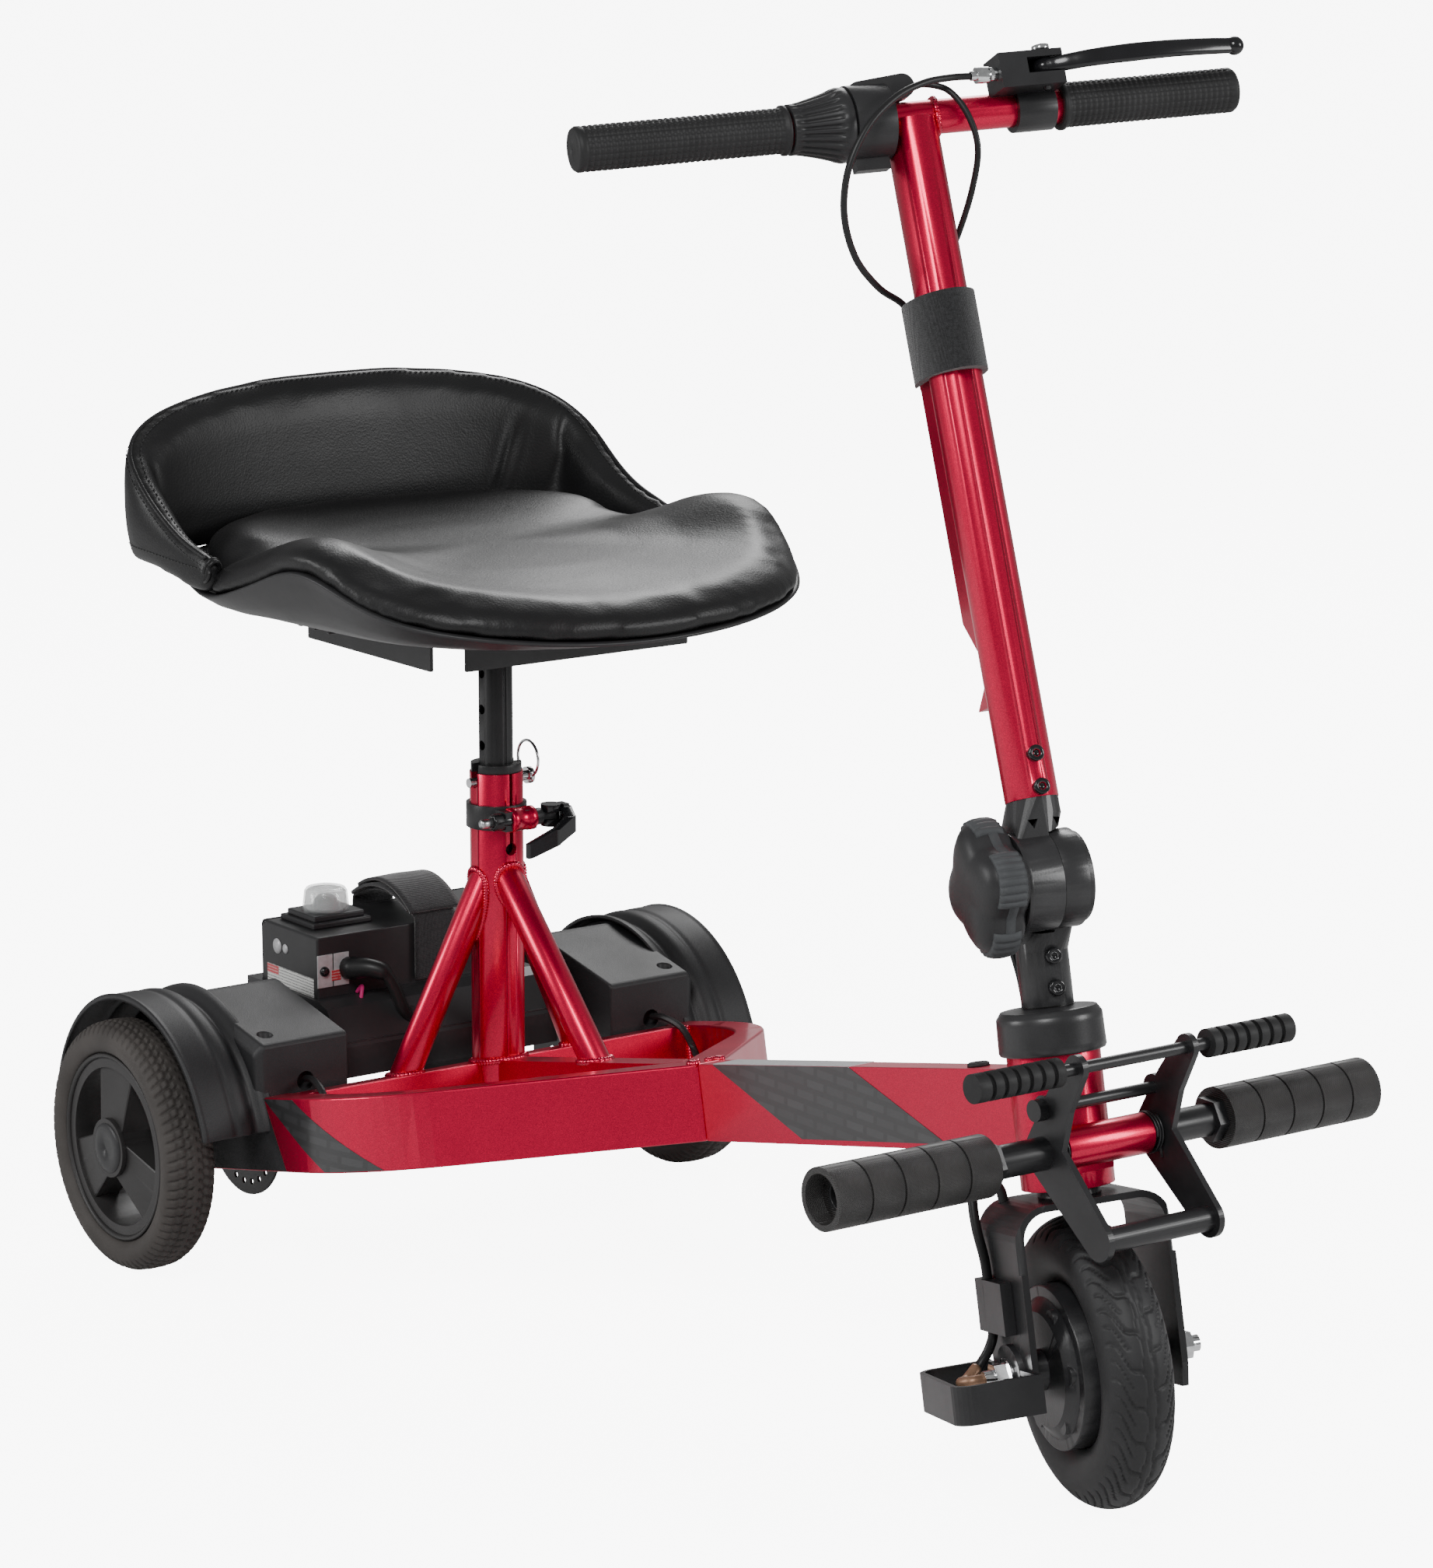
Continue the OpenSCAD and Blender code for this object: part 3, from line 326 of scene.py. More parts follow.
# ---------- materials ----------
class Nodes:
    """A short way to lay out a material's nodes."""

    def __init__(self, name):
        self.material = bpy.data.materials.new(name)
        self.material.use_nodes = True
        self.tree = self.material.node_tree
        self.shader = next(n for n in self.tree.nodes if n.type == "BSDF_PRINCIPLED")

    def add(self, kind, **settings):
        node = self.tree.nodes.new(kind)
        for key, value in settings.items():
            if key in node.inputs.keys():
                node.inputs[key].default_value = value
            else:
                setattr(node, key, value)
        return node

    def join(self, a, out, b, socket):
        self.tree.links.new(a.outputs[out], b.inputs[socket])

    def place(self, scale=(1, 1, 1), turn=(0, 0, 0), output="Object"):
        """Coordinates of the piece in metres, scaled and turned."""
        coords = self.add("ShaderNodeTexCoord")
        mapping = self.add("ShaderNodeMapping")
        mapping.inputs["Scale"].default_value = scale
        mapping.inputs["Rotation"].default_value = turn
        self.join(coords, output, mapping, "Vector")
        return mapping

    def noise(self, scale, detail=3.0, rough=0.5, where=None):
        node = self.add("ShaderNodeTexNoise", Scale=scale, Detail=detail, Roughness=rough)
        self.join(where or self.place(), "Vector", node, "Vector")
        return node

    def cells(self, scale, feature="F1", where=None):
        node = self.add("ShaderNodeTexVoronoi", feature=feature)
        node.inputs["Scale"].default_value = scale
        self.join(where or self.place(), "Vector", node, "Vector")
        return node

    def ramp(self, source, out, stops):
        node = self.add("ShaderNodeValToRGB")
        ends = node.color_ramp.elements
        while len(ends) < len(stops):
            ends.new(0.5)
        for end, (at, colour) in zip(ends, stops):
            end.position = at
            end.color = (*colour, 1) if len(colour) == 3 else (colour[0],) * 3 + (1,)
        self.join(source, out, node, "Fac")
        return node

    def tint(self, source, stops, out="Fac"):
        """The piece's colour, from a 0..1 output."""
        self.join(self.ramp(source, out, stops), "Color", self.shader, "Base Color")

    def span(self, source, low, high):
        """The roughness, spread between two values by a 0..1 factor."""
        node = self.add("ShaderNodeMapRange")
        node.inputs["To Min"].default_value = low
        node.inputs["To Max"].default_value = high
        self.join(source, "Fac", node, "Value")
        self.join(node, "Result", self.shader, "Roughness")

    def bump(self, source, out, depth, strength=1.0, onto=None):
        """Relief of a depth in millimetres, over an earlier relief if given."""
        node = self.add("ShaderNodeBump", Strength=strength, Distance=depth / 1000)
        self.join(source, out, node, "Height")
        if onto:
            self.join(onto, "Normal", node, "Normal")
        self.join(node, "Normal", self.shader, "Normal")
        return node

    def set(self, **values):
        for key, value in values.items():
            self.shader.inputs[key.replace("_", " ")].default_value = value
        return self


def shade(colour, factor):
    """A colour made lighter or darker."""
    return tuple(min(1.0, c * factor) for c in colour)


def metallic_crimson(look):
    """Clear-coated crimson over fine metal flakes."""
    n = Nodes("Metallic crimson")
    base = tuple(look.crimson)
    n.set(Metallic=0.8, Coat_Weight=0.35, Coat_Roughness=0.1, Specular_IOR_Level=0.5)
    flakes = n.cells(2600)
    n.tint(flakes, [(0.0, shade(base, 0.72)), (0.55, base), (1.0, shade(base, 1.45))], "Color")
    broad = n.noise(22, 2)
    n.span(broad, 0.27, 0.37)
    n.bump(n.noise(900, 2), "Fac", 0.02, 0.35)
    return n.material


def weld_crimson(look):
    """Crimson over weld ripples, glossier and a little lighter."""
    n = Nodes("Crimson weld")
    base = tuple(look.crimson)
    n.set(Metallic=0.8, Coat_Weight=0.6, Coat_Roughness=0.06)
    n.tint(n.noise(160), [(0.3, shade(base, 0.85)), (0.7, shade(base, 1.25))])
    n.span(n.noise(60), 0.16, 0.26)
    return n.material


def satin_black(name="Satin black paint", colour=(0.012, 0.012, 0.013), low=0.32, high=0.46, grain=1400,
                depth=0.03):
    """Powder-coated black metal with a fine orange-peel."""
    n = Nodes(name)
    n.set(Metallic=0.0, Coat_Weight=0.15, Coat_Roughness=0.25, Specular_IOR_Level=0.4)
    n.tint(n.noise(35, 4), [(0.3, colour), (0.75, shade(colour, 1.6))])
    n.span(n.noise(28, 3), low, high)
    n.bump(n.noise(grain, 2), "Fac", depth, 0.6)
    return n.material


def textured_plastic(name="Textured black plastic", colour=(0.017, 0.017, 0.018), grain=1500, depth=0.12,
                     low=0.42, high=0.56):
    """Moulded plastic with a leather-like spark grain."""
    n = Nodes(name)
    n.set(Specular_IOR_Level=0.32)
    n.tint(n.noise(20, 4), [(0.3, colour), (0.8, shade(colour, 1.5))])
    n.span(n.noise(16, 3), low, high)
    fine = n.bump(n.cells(grain), "Distance", depth, 0.7)
    n.bump(n.noise(grain * 0.4, 3), "Fac", depth * 0.6, 0.5, fine)
    return n.material


def rubber_finish(name, colour, low=0.5, high=0.68, grain=900, depth=0.05):
    """Rubber with a dull bloom and fine pores."""
    n = Nodes(name)
    n.set(Specular_IOR_Level=0.3)
    n.tint(n.noise(26, 5), [(0.25, shade(colour, 0.8)), (0.8, shade(colour, 1.5))])
    n.span(n.noise(18, 4), low, high)
    n.bump(n.noise(grain, 3), "Fac", depth, 0.7)
    return n.material


def bare_metal(name, colour, low, high, streak=(1, 1, 1), metallic=1.0):
    """Plated or brushed metal; streak stretches its grain."""
    n = Nodes(name)
    n.set(Metallic=metallic)
    grain = n.noise(240, 3, where=n.place(scale=streak))
    n.tint(grain, [(0.3, shade(colour, 0.85)), (0.7, shade(colour, 1.08))])
    n.span(grain, low, high)
    n.bump(grain, "Fac", 0.01, 0.4)
    return n.material


def leatherette(look):
    """Soft black leatherette: pebbled grain of small cells, broad creases and a satin sheen."""
    n = Nodes("Black leatherette")
    base = tuple(look.leather)
    n.set(Specular_IOR_Level=0.3, Coat_Weight=0.03, Coat_Roughness=0.4)
    n.tint(n.noise(9, 5), [(0.3, shade(base, 0.8)), (0.75, shade(base, 1.35))])
    n.span(n.noise(14, 4), 0.34, 0.48)
    pebble = n.bump(n.cells(620, "SMOOTH_F1"), "Distance", 0.22, 0.6)
    crease = n.bump(n.noise(46, 6, 0.62, where=n.place(scale=(1, 1.6, 1))), "Fac", 0.45, 0.4, pebble)
    n.bump(n.noise(9, 2), "Fac", 1.6, 0.35, crease)
    return n.material


def webbing(name, colour):
    """Woven tape: ribs both ways with a fuzzy sheen."""
    n = Nodes(name)
    n.set(Specular_IOR_Level=0.25, Sheen_Weight=0.35, Sheen_Roughness=0.5)
    where = n.place()
    ribs = n.add("ShaderNodeTexWave", wave_type="BANDS", bands_direction="Z", Scale=315, Distortion=0.6)
    n.join(where, "Vector", ribs, "Vector")
    cross_ribs = n.add("ShaderNodeTexWave", wave_type="BANDS", bands_direction="Y", Scale=315, Distortion=0.6)
    n.join(where, "Vector", cross_ribs, "Vector")
    n.tint(n.noise(500, 3, where=where), [(0.3, shade(colour, 0.6)), (0.7, shade(colour, 1.9))])
    n.span(n.noise(60, 2), 0.75, 0.92)
    first = n.bump(ribs, "Fac", 0.25, 0.7)
    second = n.bump(cross_ribs, "Fac", 0.2, 0.6, first)
    n.bump(n.noise(1500, 2), "Fac", 0.25, 0.8, second)
    return n.material


def clear_dome():
    """Clear, slightly smoked plastic."""
    n = Nodes("Clear dome")
    n.set(Transmission_Weight=0.55, IOR=1.49, Specular_IOR_Level=0.6, Alpha=0.55)
    n.tint(n.noise(40), [(0.3, (0.78, 0.8, 0.8)), (0.7, (0.9, 0.92, 0.92))])
    n.span(n.noise(30), 0.05, 0.1)
    return n.material


def patterned_decal(name, dark, light, stripe=240.0):
    """Charcoal film printed with rows of short slanted dashes, plain shapes with no lettering."""
    n = Nodes(name)
    n.set(Coat_Weight=0.5, Coat_Roughness=0.12)
    dashes = n.add("ShaderNodeTexBrick", offset=0.5, squash=1.0)
    for key, value in (("Scale", stripe), ("Mortar Size", 0.16), ("Mortar Smooth", 0.3), ("Brick Width", 1.5),
                       ("Row Height", 0.62)):
        dashes.inputs[key].default_value = value
    dashes.inputs["Color1"].default_value = (*light, 1)
    dashes.inputs["Color2"].default_value = (*shade(light, 0.75), 1)
    dashes.inputs["Mortar"].default_value = (*dark, 1)
    n.join(n.place(turn=(math.radians(90), 0, 0), scale=(0.25, 0.25, 0.25)), "Vector", dashes, "Vector")
    n.join(dashes, "Color", n.shader, "Base Color")
    n.span(n.noise(30), 0.25, 0.4)
    return n.material


def printed_label(name, paper, ink, rows=420.0):
    """A label with blurred grey rows that stand for small print."""
    n = Nodes(name)
    n.set(Coat_Weight=0.3, Coat_Roughness=0.15)
    lines = n.add("ShaderNodeTexWave", wave_type="BANDS", bands_direction="Z", Scale=rows * 0.3)
    n.join(n.place(), "Vector", lines, "Vector")
    words = n.noise(900, 1)
    mix = n.add("ShaderNodeMath", operation="MULTIPLY")
    n.join(lines, "Fac", mix, 0)
    n.join(words, "Fac", mix, 1)
    n.tint(mix, [(0.34, paper), (0.46, ink)], "Value")
    n.span(n.noise(50), 0.35, 0.5)
    return n.material


LOOKS = {}


def material(name):
    """A finish by its short name, made once."""
    if name not in LOOKS:
        look = bpy.context.scene.scooter_finish
        makers = {
            "crimson": lambda: metallic_crimson(look),
            "weld": lambda: weld_crimson(look),
            "satin": satin_black,
            "cast": lambda: satin_black("Cast black", (0.02, 0.02, 0.021), 0.3, 0.42, 700, 0.1),
            "motor_black": lambda: satin_black("Motor black", (0.014, 0.014, 0.015), 0.28, 0.4, 500, 0.12),
            "gloss_black": lambda: satin_black("Gloss black", (0.008, 0.008, 0.009), 0.12, 0.2, 300, 0.01),
            "plastic": textured_plastic,
            "smooth_plastic": lambda: textured_plastic("Smooth black plastic", (0.02, 0.02, 0.021), 1800,
                                                       0.04, 0.34, 0.46),
            "wheel_plastic": lambda: textured_plastic("Wheel plastic", (0.022, 0.021, 0.021), 1700, 0.06,
                                                      0.38, 0.5),
            "tyre_rubber": lambda: rubber_finish("Tyre rubber", tuple(look.tyre), 0.55, 0.75),
            "front_rubber": lambda: rubber_finish("Front tyre rubber", (0.022, 0.022, 0.023), 0.42, 0.6),
            "grip_rubber": lambda: rubber_finish("Grip rubber", (0.016, 0.016, 0.0165), 0.5, 0.62, 1300,
                                                 0.05),
            "knurled": knurled_rubber,
            "grey_rubber": lambda: rubber_finish("Grey rubber", (0.05, 0.053, 0.056), 0.55, 0.7),
            "cable": lambda: rubber_finish("Cable sheath", (0.013, 0.013, 0.0135), 0.34, 0.46, 500, 0.02),
            "chrome": lambda: bare_metal("Bright plating", (0.78, 0.79, 0.8), 0.08, 0.18),
            "steel": lambda: bare_metal("Brushed steel", (0.56, 0.57, 0.58), 0.24, 0.4, (1, 12, 1)),
            "copper": lambda: bare_metal("Copper-brown sheath", (0.33, 0.19, 0.12), 0.35, 0.5, metallic=0.5),
            "leather": lambda: leatherette(look),
            "webbing": lambda: webbing("Black webbing", (0.012, 0.012, 0.013)),
            "dome": clear_dome,
            "thread": lambda: rubber_finish("Stitching", (0.03, 0.03, 0.031), 0.55, 0.7),
            "decal": lambda: patterned_decal("Charcoal decal", (0.02, 0.02, 0.021), (0.036, 0.036, 0.038)),
            "reflective": lambda: bare_metal("Reflective film", (0.5, 0.5, 0.51), 0.3, 0.45, metallic=0.2),
            "label": lambda: printed_label("Printed label", (0.62, 0.62, 0.6), (0.16, 0.16, 0.16)),
            "label_red": lambda: printed_label("Label header", (0.5, 0.04, 0.05), (0.6, 0.3, 0.3)),
            "wire_red": lambda: rubber_finish("Magenta wire", (0.55, 0.02, 0.16), 0.35, 0.5),
        }
        LOOKS[name] = makers[name]()
    return LOOKS[name]


def knurled_rubber():
    """Grip rubber with a fine crossed knurl."""
    n = Nodes("Knurled grip")
    n.set(Specular_IOR_Level=0.5)
    n.tint(n.noise(40, 3), [(0.3, (0.018, 0.017, 0.017)), (0.8, (0.032, 0.03, 0.029))])
    n.span(n.noise(20), 0.38, 0.5)
    relief = None
    for turn in (40, -40):
        lines = n.add("ShaderNodeTexWave", wave_type="BANDS", bands_direction="Y", Scale=330.0)
        n.join(n.place(turn=(math.radians(turn), 0, 0)), "Vector", lines, "Vector")
        relief = n.bump(lines, "Fac", 0.35, 0.6, relief)
    return n.material


# ---------- soft parts ----------
def mesh_points(piece):
    """A piece's vertices in millimetres from the rear axle."""
    flat = np.empty(len(piece.data.vertices) * 3)
    piece.data.vertices.foreach_get("co", flat)
    return (flat.reshape(-1, 3) - [REAR_AXLE_X, 0, 0]) * 1000


def puff(piece, voxel, pressure, cap, weight):
    """Fills a closed piece as foam fills its cover: the skin is remeshed evenly and blown up as cloth
    without gravity, then p = p0 + (p1 - p0) min(1, cap / |p1 - p0|) weight(p0)."""
    remesh = piece.modifiers.new("Even skin", "REMESH")
    remesh.mode = "VOXEL"
    remesh.voxel_size = voxel / 1000
    remesh.use_smooth_shade = True
    apply_modifiers(piece)
    start = mesh_points(piece)
    settings = piece.modifiers.new("Filling", "CLOTH").settings
    settings.use_pressure = True
    settings.uniform_pressure_force = pressure
    settings.effector_weights.gravity = 0
    settings.quality = 4
    scene = bpy.context.scene
    for frame in range(1, 21):
        scene.frame_set(frame)
    apply_modifiers(piece)
    scene.frame_set(1)
    move = mesh_points(piece) - start
    far = np.linalg.norm(move, axis=1) + 1e-9
    share = np.minimum(1, cap / far) * weight(start)
    piece.data.vertices.foreach_set("co", put_down(start + move * share[:, None]).ravel())
    even = piece.modifiers.new("Eased skin", "SMOOTH")
    even.iterations = 6
    even.factor = 0.5
    finer = piece.modifiers.new("Finer skin", "SUBSURF")
    finer.levels = finer.render_levels = 1
    apply_modifiers(piece)
    piece.data.polygons.foreach_set("use_smooth", [True] * len(piece.data.polygons))


def settle(points, piece, lift):
    """Points (mm) moved to the nearest place on a piece's skin, lifted off it along its normal."""
    put = put_down(points)
    out = []
    for point in put:
        _, near, normal, _ = piece.closest_point_on_mesh(Vector(point))
        out.append((np.array(near) - [REAR_AXLE_X, 0, 0]) * 1000 + np.array(normal) * lift)
    return np.array(out)


def evenly(path, step):
    """Points at one spacing along a path."""
    p = np.asarray(path, float)
    along = np.concatenate([[0], np.cumsum(np.linalg.norm(np.diff(p, axis=0), axis=1))])
    at = np.linspace(0, along[-1], max(2, int(along[-1] / step) + 1))
    return np.stack([np.interp(at, along, p[:, k]) for k in range(3)], -1)


def stitches(name, path, material, length=3.4, gap=1.7, thick=1.0):
    """A row of short thread ends, each a spindle r(s) = thick / 2 sqrt(1 - s^2) along its stretch."""
    spots = evenly(path, length + gap)
    tangent = np.gradient(spots, axis=0)
    tangent /= np.linalg.norm(tangent, axis=1)[:, None] + 1e-9
    seed = np.where(np.abs(tangent[:, 2:]) < 0.9, [[0, 0, 1.0]], [[0, 1.0, 0]])
    side = np.cross(tangent, seed)
    side /= np.linalg.norm(side, axis=1)[:, None] + 1e-9
    up = np.cross(side, tangent)
    s = np.array([-0.98, -0.6, 0.6, 0.98])
    ring = circle(thick / 2, 6)
    size = np.sqrt(1 - s ** 2)
    verts = (spots[:, None, None] + tangent[:, None, None] * (s * length / 2)[None, :, None, None]
             + side[:, None, None] * (size[:, None] * ring[:, 0])[None, :, :, None]
             + up[:, None, None] * (size[:, None] * ring[:, 1])[None, :, :, None]).reshape(-1, 3)
    faces = []
    for k in range(len(spots)):
        faces += grid_faces(4, 6, wrap_cols=True, start=k * 24).tolist()
        faces += [list(range(k * 24 + 5, k * 24 - 1, -1)), list(range(k * 24 + 18, k * 24 + 24))]
    piece = new_piece(name, verts, faces, material)
    face_out(piece)
    return piece


# ---------- seat ----------
def edge(a):
    """Height of the pan's edge at angle a round the seat: 580 - 24 c^3 + two Gaussian swells."""
    d = np.degrees(np.abs(a))
    return (580 - 24 * np.maximum(np.cos(a), 0) ** 3 + 26 * np.exp(-((d - 72) / 16) ** 2)
            - 12 * np.exp(-((d - 108) / 12) ** 2))


def seat_ring(grow, height, count=180):
    """A ring round the seat: r = ((|cos| / (249 + g))^2.7 + (|sin| / (231 + g))^2.7)^(-1 / 2.7)."""
    a = np.linspace(-np.pi, np.pi, count, endpoint=False)
    g = grow(a) if callable(grow) else grow
    z = height(a) if callable(height) else np.full(count, float(height))
    r = ((np.abs(np.cos(a)) / (249 + g)) ** 2.7 + (np.abs(np.sin(a)) / (231 + g)) ** 2.7) ** (-1 / 2.7)
    return np.stack([SEAT_MID + r * np.cos(a), r * np.sin(a), z], -1)


def step(x, low, high):
    """Smooth step 3 t^2 - 2 t^3 between low and high."""
    t = np.clip((x - low) / (high - low), 0, 1)
    return t * t * (3 - 2 * t)


def back_rim():
    """Outer rim of the backrest from the right wing's end round the back to the left one: x, y, z."""
    half = np.array([(-119, 0, 706), (-118, 60, 705), (-113, 115, 700), (-104, 162, 692), (-92, 196, 680),
                     (-76, 217, 666), (-54, 226, 650), (-26, 228, 630), (8, 228.5, 612), (36, 229, 602),
                     (60, 229, 597)])
    left = smooth_path(half, 10)
    return np.vstack([left[:0:-1] * [1, -1, 1], left])


class SCOOTER_OT_seat(Operator):
    """Shapes the pan, the stitched cushion and the wrap-round backrest"""

    bl_idname = "scooter.seat"
    bl_label = "Seat"

    def execute(self, context):
        rise = context.scene.scooter_sizes.cushion_rise
        leather, dark = material("leather"), material("smooth_plastic")
        pan = lofted("seat_shell", [seat_ring(g, z) for g, z in (
            (-96, 544.2), (-70, 544.5), (-46, lambda a: 546 + (edge(a) - 556) * 0.06),
            (-30, lambda a: 547 + (edge(a) - 556) * 0.22),
            (-18, lambda a: 548 + (edge(a) - 556) * 0.5), (-8, lambda a: 550 + (edge(a) - 556) * 0.84),
            (-5, lambda a: edge(a) - 6.2),
            (-3.5, lambda a: edge(a) - 4.6), (-4.5, lambda a: edge(a) - 3.2), (-7, lambda a: edge(a) - 2.6),
            (-16, lambda a: edge(a) - 3.5), (-60, 549))], dark)
        finish_piece(pan, "seat", ("seat_pan",))

        # Cushion, tucked inside the backrest's wings behind the notch
        def inset(a):
            return -19 * step(np.degrees(np.abs(a)), 104, 114)

        mid = 588
        rings = [seat_ring(lambda a, g=g: g + inset(a) * min(1, (215 + g) / 180),
                           lambda a, k=k, h=h: (1 - k) * (edge(a) + h) + k * mid + k * 2)
                 for g, h, k in ((-80, -2, 1), (-30, 0.5, 0.0), (-9, -2.4, 0), (-2.5, -1, 0), (-1.5, 8, 0),
                                 (-4, 15, 0), (-11, 20, 0), (-22, 22.5, 0.03), (-38, 23, 0.12),
                                 (-60, 22, 0.32), (-90, 20, 0.62), (-130, 18, 0.88), (-180, 18, 0.97),
                                 (-215, 18, 1))]
        rings[0][:, 2] = 551
        cushion = lofted("cushion_cover", rings, leather)
        puff(cushion, 5, 4, rise, lambda p: step(p[:, 2], 562, 590) * 0.6)
        finish_piece(cushion, "seat", ("seat_cushion",))

        # Backrest: a padded wall whose section follows its rim
        rim = back_rim()
        flat = rim * [1, 1, 0]
        tangent = np.gradient(flat, axis=0)
        tangent /= np.linalg.norm(tangent, axis=1)[:, None]
        out = np.stack([tangent[:, 1], -tangent[:, 0], tangent[:, 2]], -1)
        out *= np.sign((out * (flat - [SEAT_MID, 0, 0])).sum(1))[:, None]
        angle = np.arctan2(rim[:, 1], rim[:, 0] - SEAT_MID)
        low = edge(angle) - 1
        grown = 7 * step(rim[:, 2] - low, 12, 70)
        rim[:, 2] += grown
        tall = rim[:, 2] - low
        thin = 0.62 + 0.38 * step(tall, 26, 70)
        section = [(0.0, 0.0), (1.5, 0.2), (1.0, 0.45), (-1.0, 0.72), (-3.5, 0.9), (-6.5, 0.98), (-11, 1.0),
                   (-16, 0.975), (-21, 0.9), (-25.5, 0.7), (-28, 0.45), (-30, 0.2), (-31, 0.02), (-16, -0.02)]
        wall = np.stack([rim * [1, 1, 0] + out * (o * thin + f * grown)[:, None]
                         + np.stack([0 * low, 0 * low, low + f * tall], -1)
                         for o, f in section], 1)
        ends = [end * 0.55 + end.mean(0) * 0.45 + [7, 0, 0] for end in (wall[0], wall[-1])]
        back = lofted("backrest_cover", np.vstack([[ends[0]], wall, [ends[1]]]), leather)
        puff(back, 5, 4, 6, lambda p: 0.5 * step(p[:, 2], 585, 615))
        pull = mesh_points(back)
        slant = pull[:, 1] - 156 - 0.35 * (pull[:, 2] - 630)
        crease = (np.exp(-((pull[:, 0] + 86) / 16) ** 2) * np.exp(-(slant / 11) ** 2)
                  * step(pull[:, 2], 586, 600) * step(672 - pull[:, 2], 0, 40))
        pull[:, 0] -= 3.2 * crease * np.cos(slant / 5)
        back.data.vertices.foreach_set("co", put_down(pull).ravel())
        finish_piece(back, "seat", ("backrest_pad",))

        trims = []
        rim = rim + out * grown[:, None]
        piping = settle(evenly(rim + out * (-1.5 * thin)[:, None] + [0, 0, 1.5], 8), back, 0.6)
        for _ in range(4):
            piping[1:-1] = (piping[:-2] + 2 * piping[1:-1] + piping[2:]) / 4
        trims.append(tube("rim_piping", piping, 4.2, leather, sides=12, per_span=3))
        thread = material("thread")
        for drop, inward in ((9, 0.0), (4.5, -17)):
            row = rim + out * (inward * thin)[:, None] - [0, 0, drop]
            trims.append(stitches("rim_stitches", settle(evenly(row, 4), back, 0.45), thread))
        for s in (1, -1):
            seam = smooth_path([(-70, s * 229, 590), (-30, s * 231, 590), (20, s * 231, 588),
                                (54, s * 230, 587)], 8)
            trims.append(stitches("wing_stitches", settle(seam, back, 0.45), thread))
            # Tie where a wing's end meets the cushion
            a = np.linspace(0, 2 * np.pi, 24, endpoint=False)
            for dx, w, h in ((59, 6.5, 9.5), (62, 5.5, 8)):
                loop = np.stack([dx + 2.5 * np.sin(a), s * (221 + w * np.cos(a)), 585 + h * np.sin(a)], -1)
                trims.append(lofted("wing_tie", sweep(loop, circle(2.1, 10), closed=True), leather,
                                    closed=True))
            fold = smooth_path([(63, s * 226, 590), (68, s * 228, 585), (66, s * 228.5, 580),
                                (60, s * 228, 577)], 6)
            trims.append(tube("wing_tie_tail", fold, 3.4, leather, sides=8, smooth_it=False))
        trim = joined("seat_trim", trims)
        finish_piece(trim, "seat")

        # Under the seat: the black base block and the bent tabs of the bracket
        under = [block("base_block", (-64, -70, 528), (16, 70, 546), dark, bevel=5, segments=3)]
        for s in (1, -1):
            under.append(block("bent_tab", (18, s * 60 - 11, 519), (26, s * 60 + 11, 539), material("satin"),
                               bevel=1.5))
            for x in (40, 186):
                bolt = turned("bracket_bolt", [(533, 0.5), (533, 6), (538.2, 6), (538.2, 0.5)],
                              material("satin"), "z", place=shifted(x, s * 82, 0), count=20)
                under.append(bolt)
            for k in range(3):
                under.append(block("pan_rib", (70 + 22 * k, s * 128 - 20, 534),
                                   (74 + 22 * k, s * 128 + 20, 547), dark, bevel=1))
        finish_piece(joined("under_seat", under), "seat")
        return {"FINISHED"}


# ---------- wheels ----------
# Points round each tyre: eight to a tread block behind, about 26 to a wave in front
REAR_BLOCKS, FRONT_WAVES = 76, 24
REAR_STEPS, FRONT_STEPS = 8 * REAR_BLOCKS, 620
REAR_TYRE_W, SHOULDER_R = 46.0, 15.0
BEAD_ANGLE = math.radians(140)
TREAD_FROM = 91
TREAD_ANGLE = 1.32
def rear_section():
    """Half of the rear tyre's section, side to side: bead, rounded shoulders and a nearly flat crown."""
    r, w, s = REAR_TYRE_R, REAR_TYRE_W, SHOULDER_R
    left = [(-w / 2 + 6, 78.0), (-w / 2 + 2.5, 80.5), (-w / 2 + 0.6, 85)]
    a = np.radians(np.linspace(180, 97, 16))
    left += list(zip(-w / 2 + s + s * np.cos(a), r - s + s * np.sin(a) - 0.4 * np.sin(a)))
    mid = [(y, r - 0.0015 * y * y) for y in np.linspace(-7.6, 7.6, 17)]
    return np.array(left + mid + [(-y, z) for y, z in left[::-1]])


def block_tread(depth):
    """Tread blocks: ring grooves at |y| = 7.4 and 14.5, and slanting cross grooves."""
    def ripple(y, a):
        side = np.abs(y)
        phase = (a * REAR_BLOCKS / (2 * np.pi) + 0.045 * side + np.where(side < 7.4, 0.5, 0)
                 + np.where(y > 0, 0.25, 0)) % 1
        cross = step(np.abs(phase - 0.5), 0.3, 0.4)
        ring = np.exp(-((side - 7.4) / 0.95) ** 2) + 0.8 * np.exp(-((side - 14.5) / 0.9) ** 2)
        cross = cross * step(side, 1.6, 2.6)
        return -depth * np.maximum(np.minimum(ring, 1), cross) * step(22.6 - side, 0, 2.5)
    return ripple


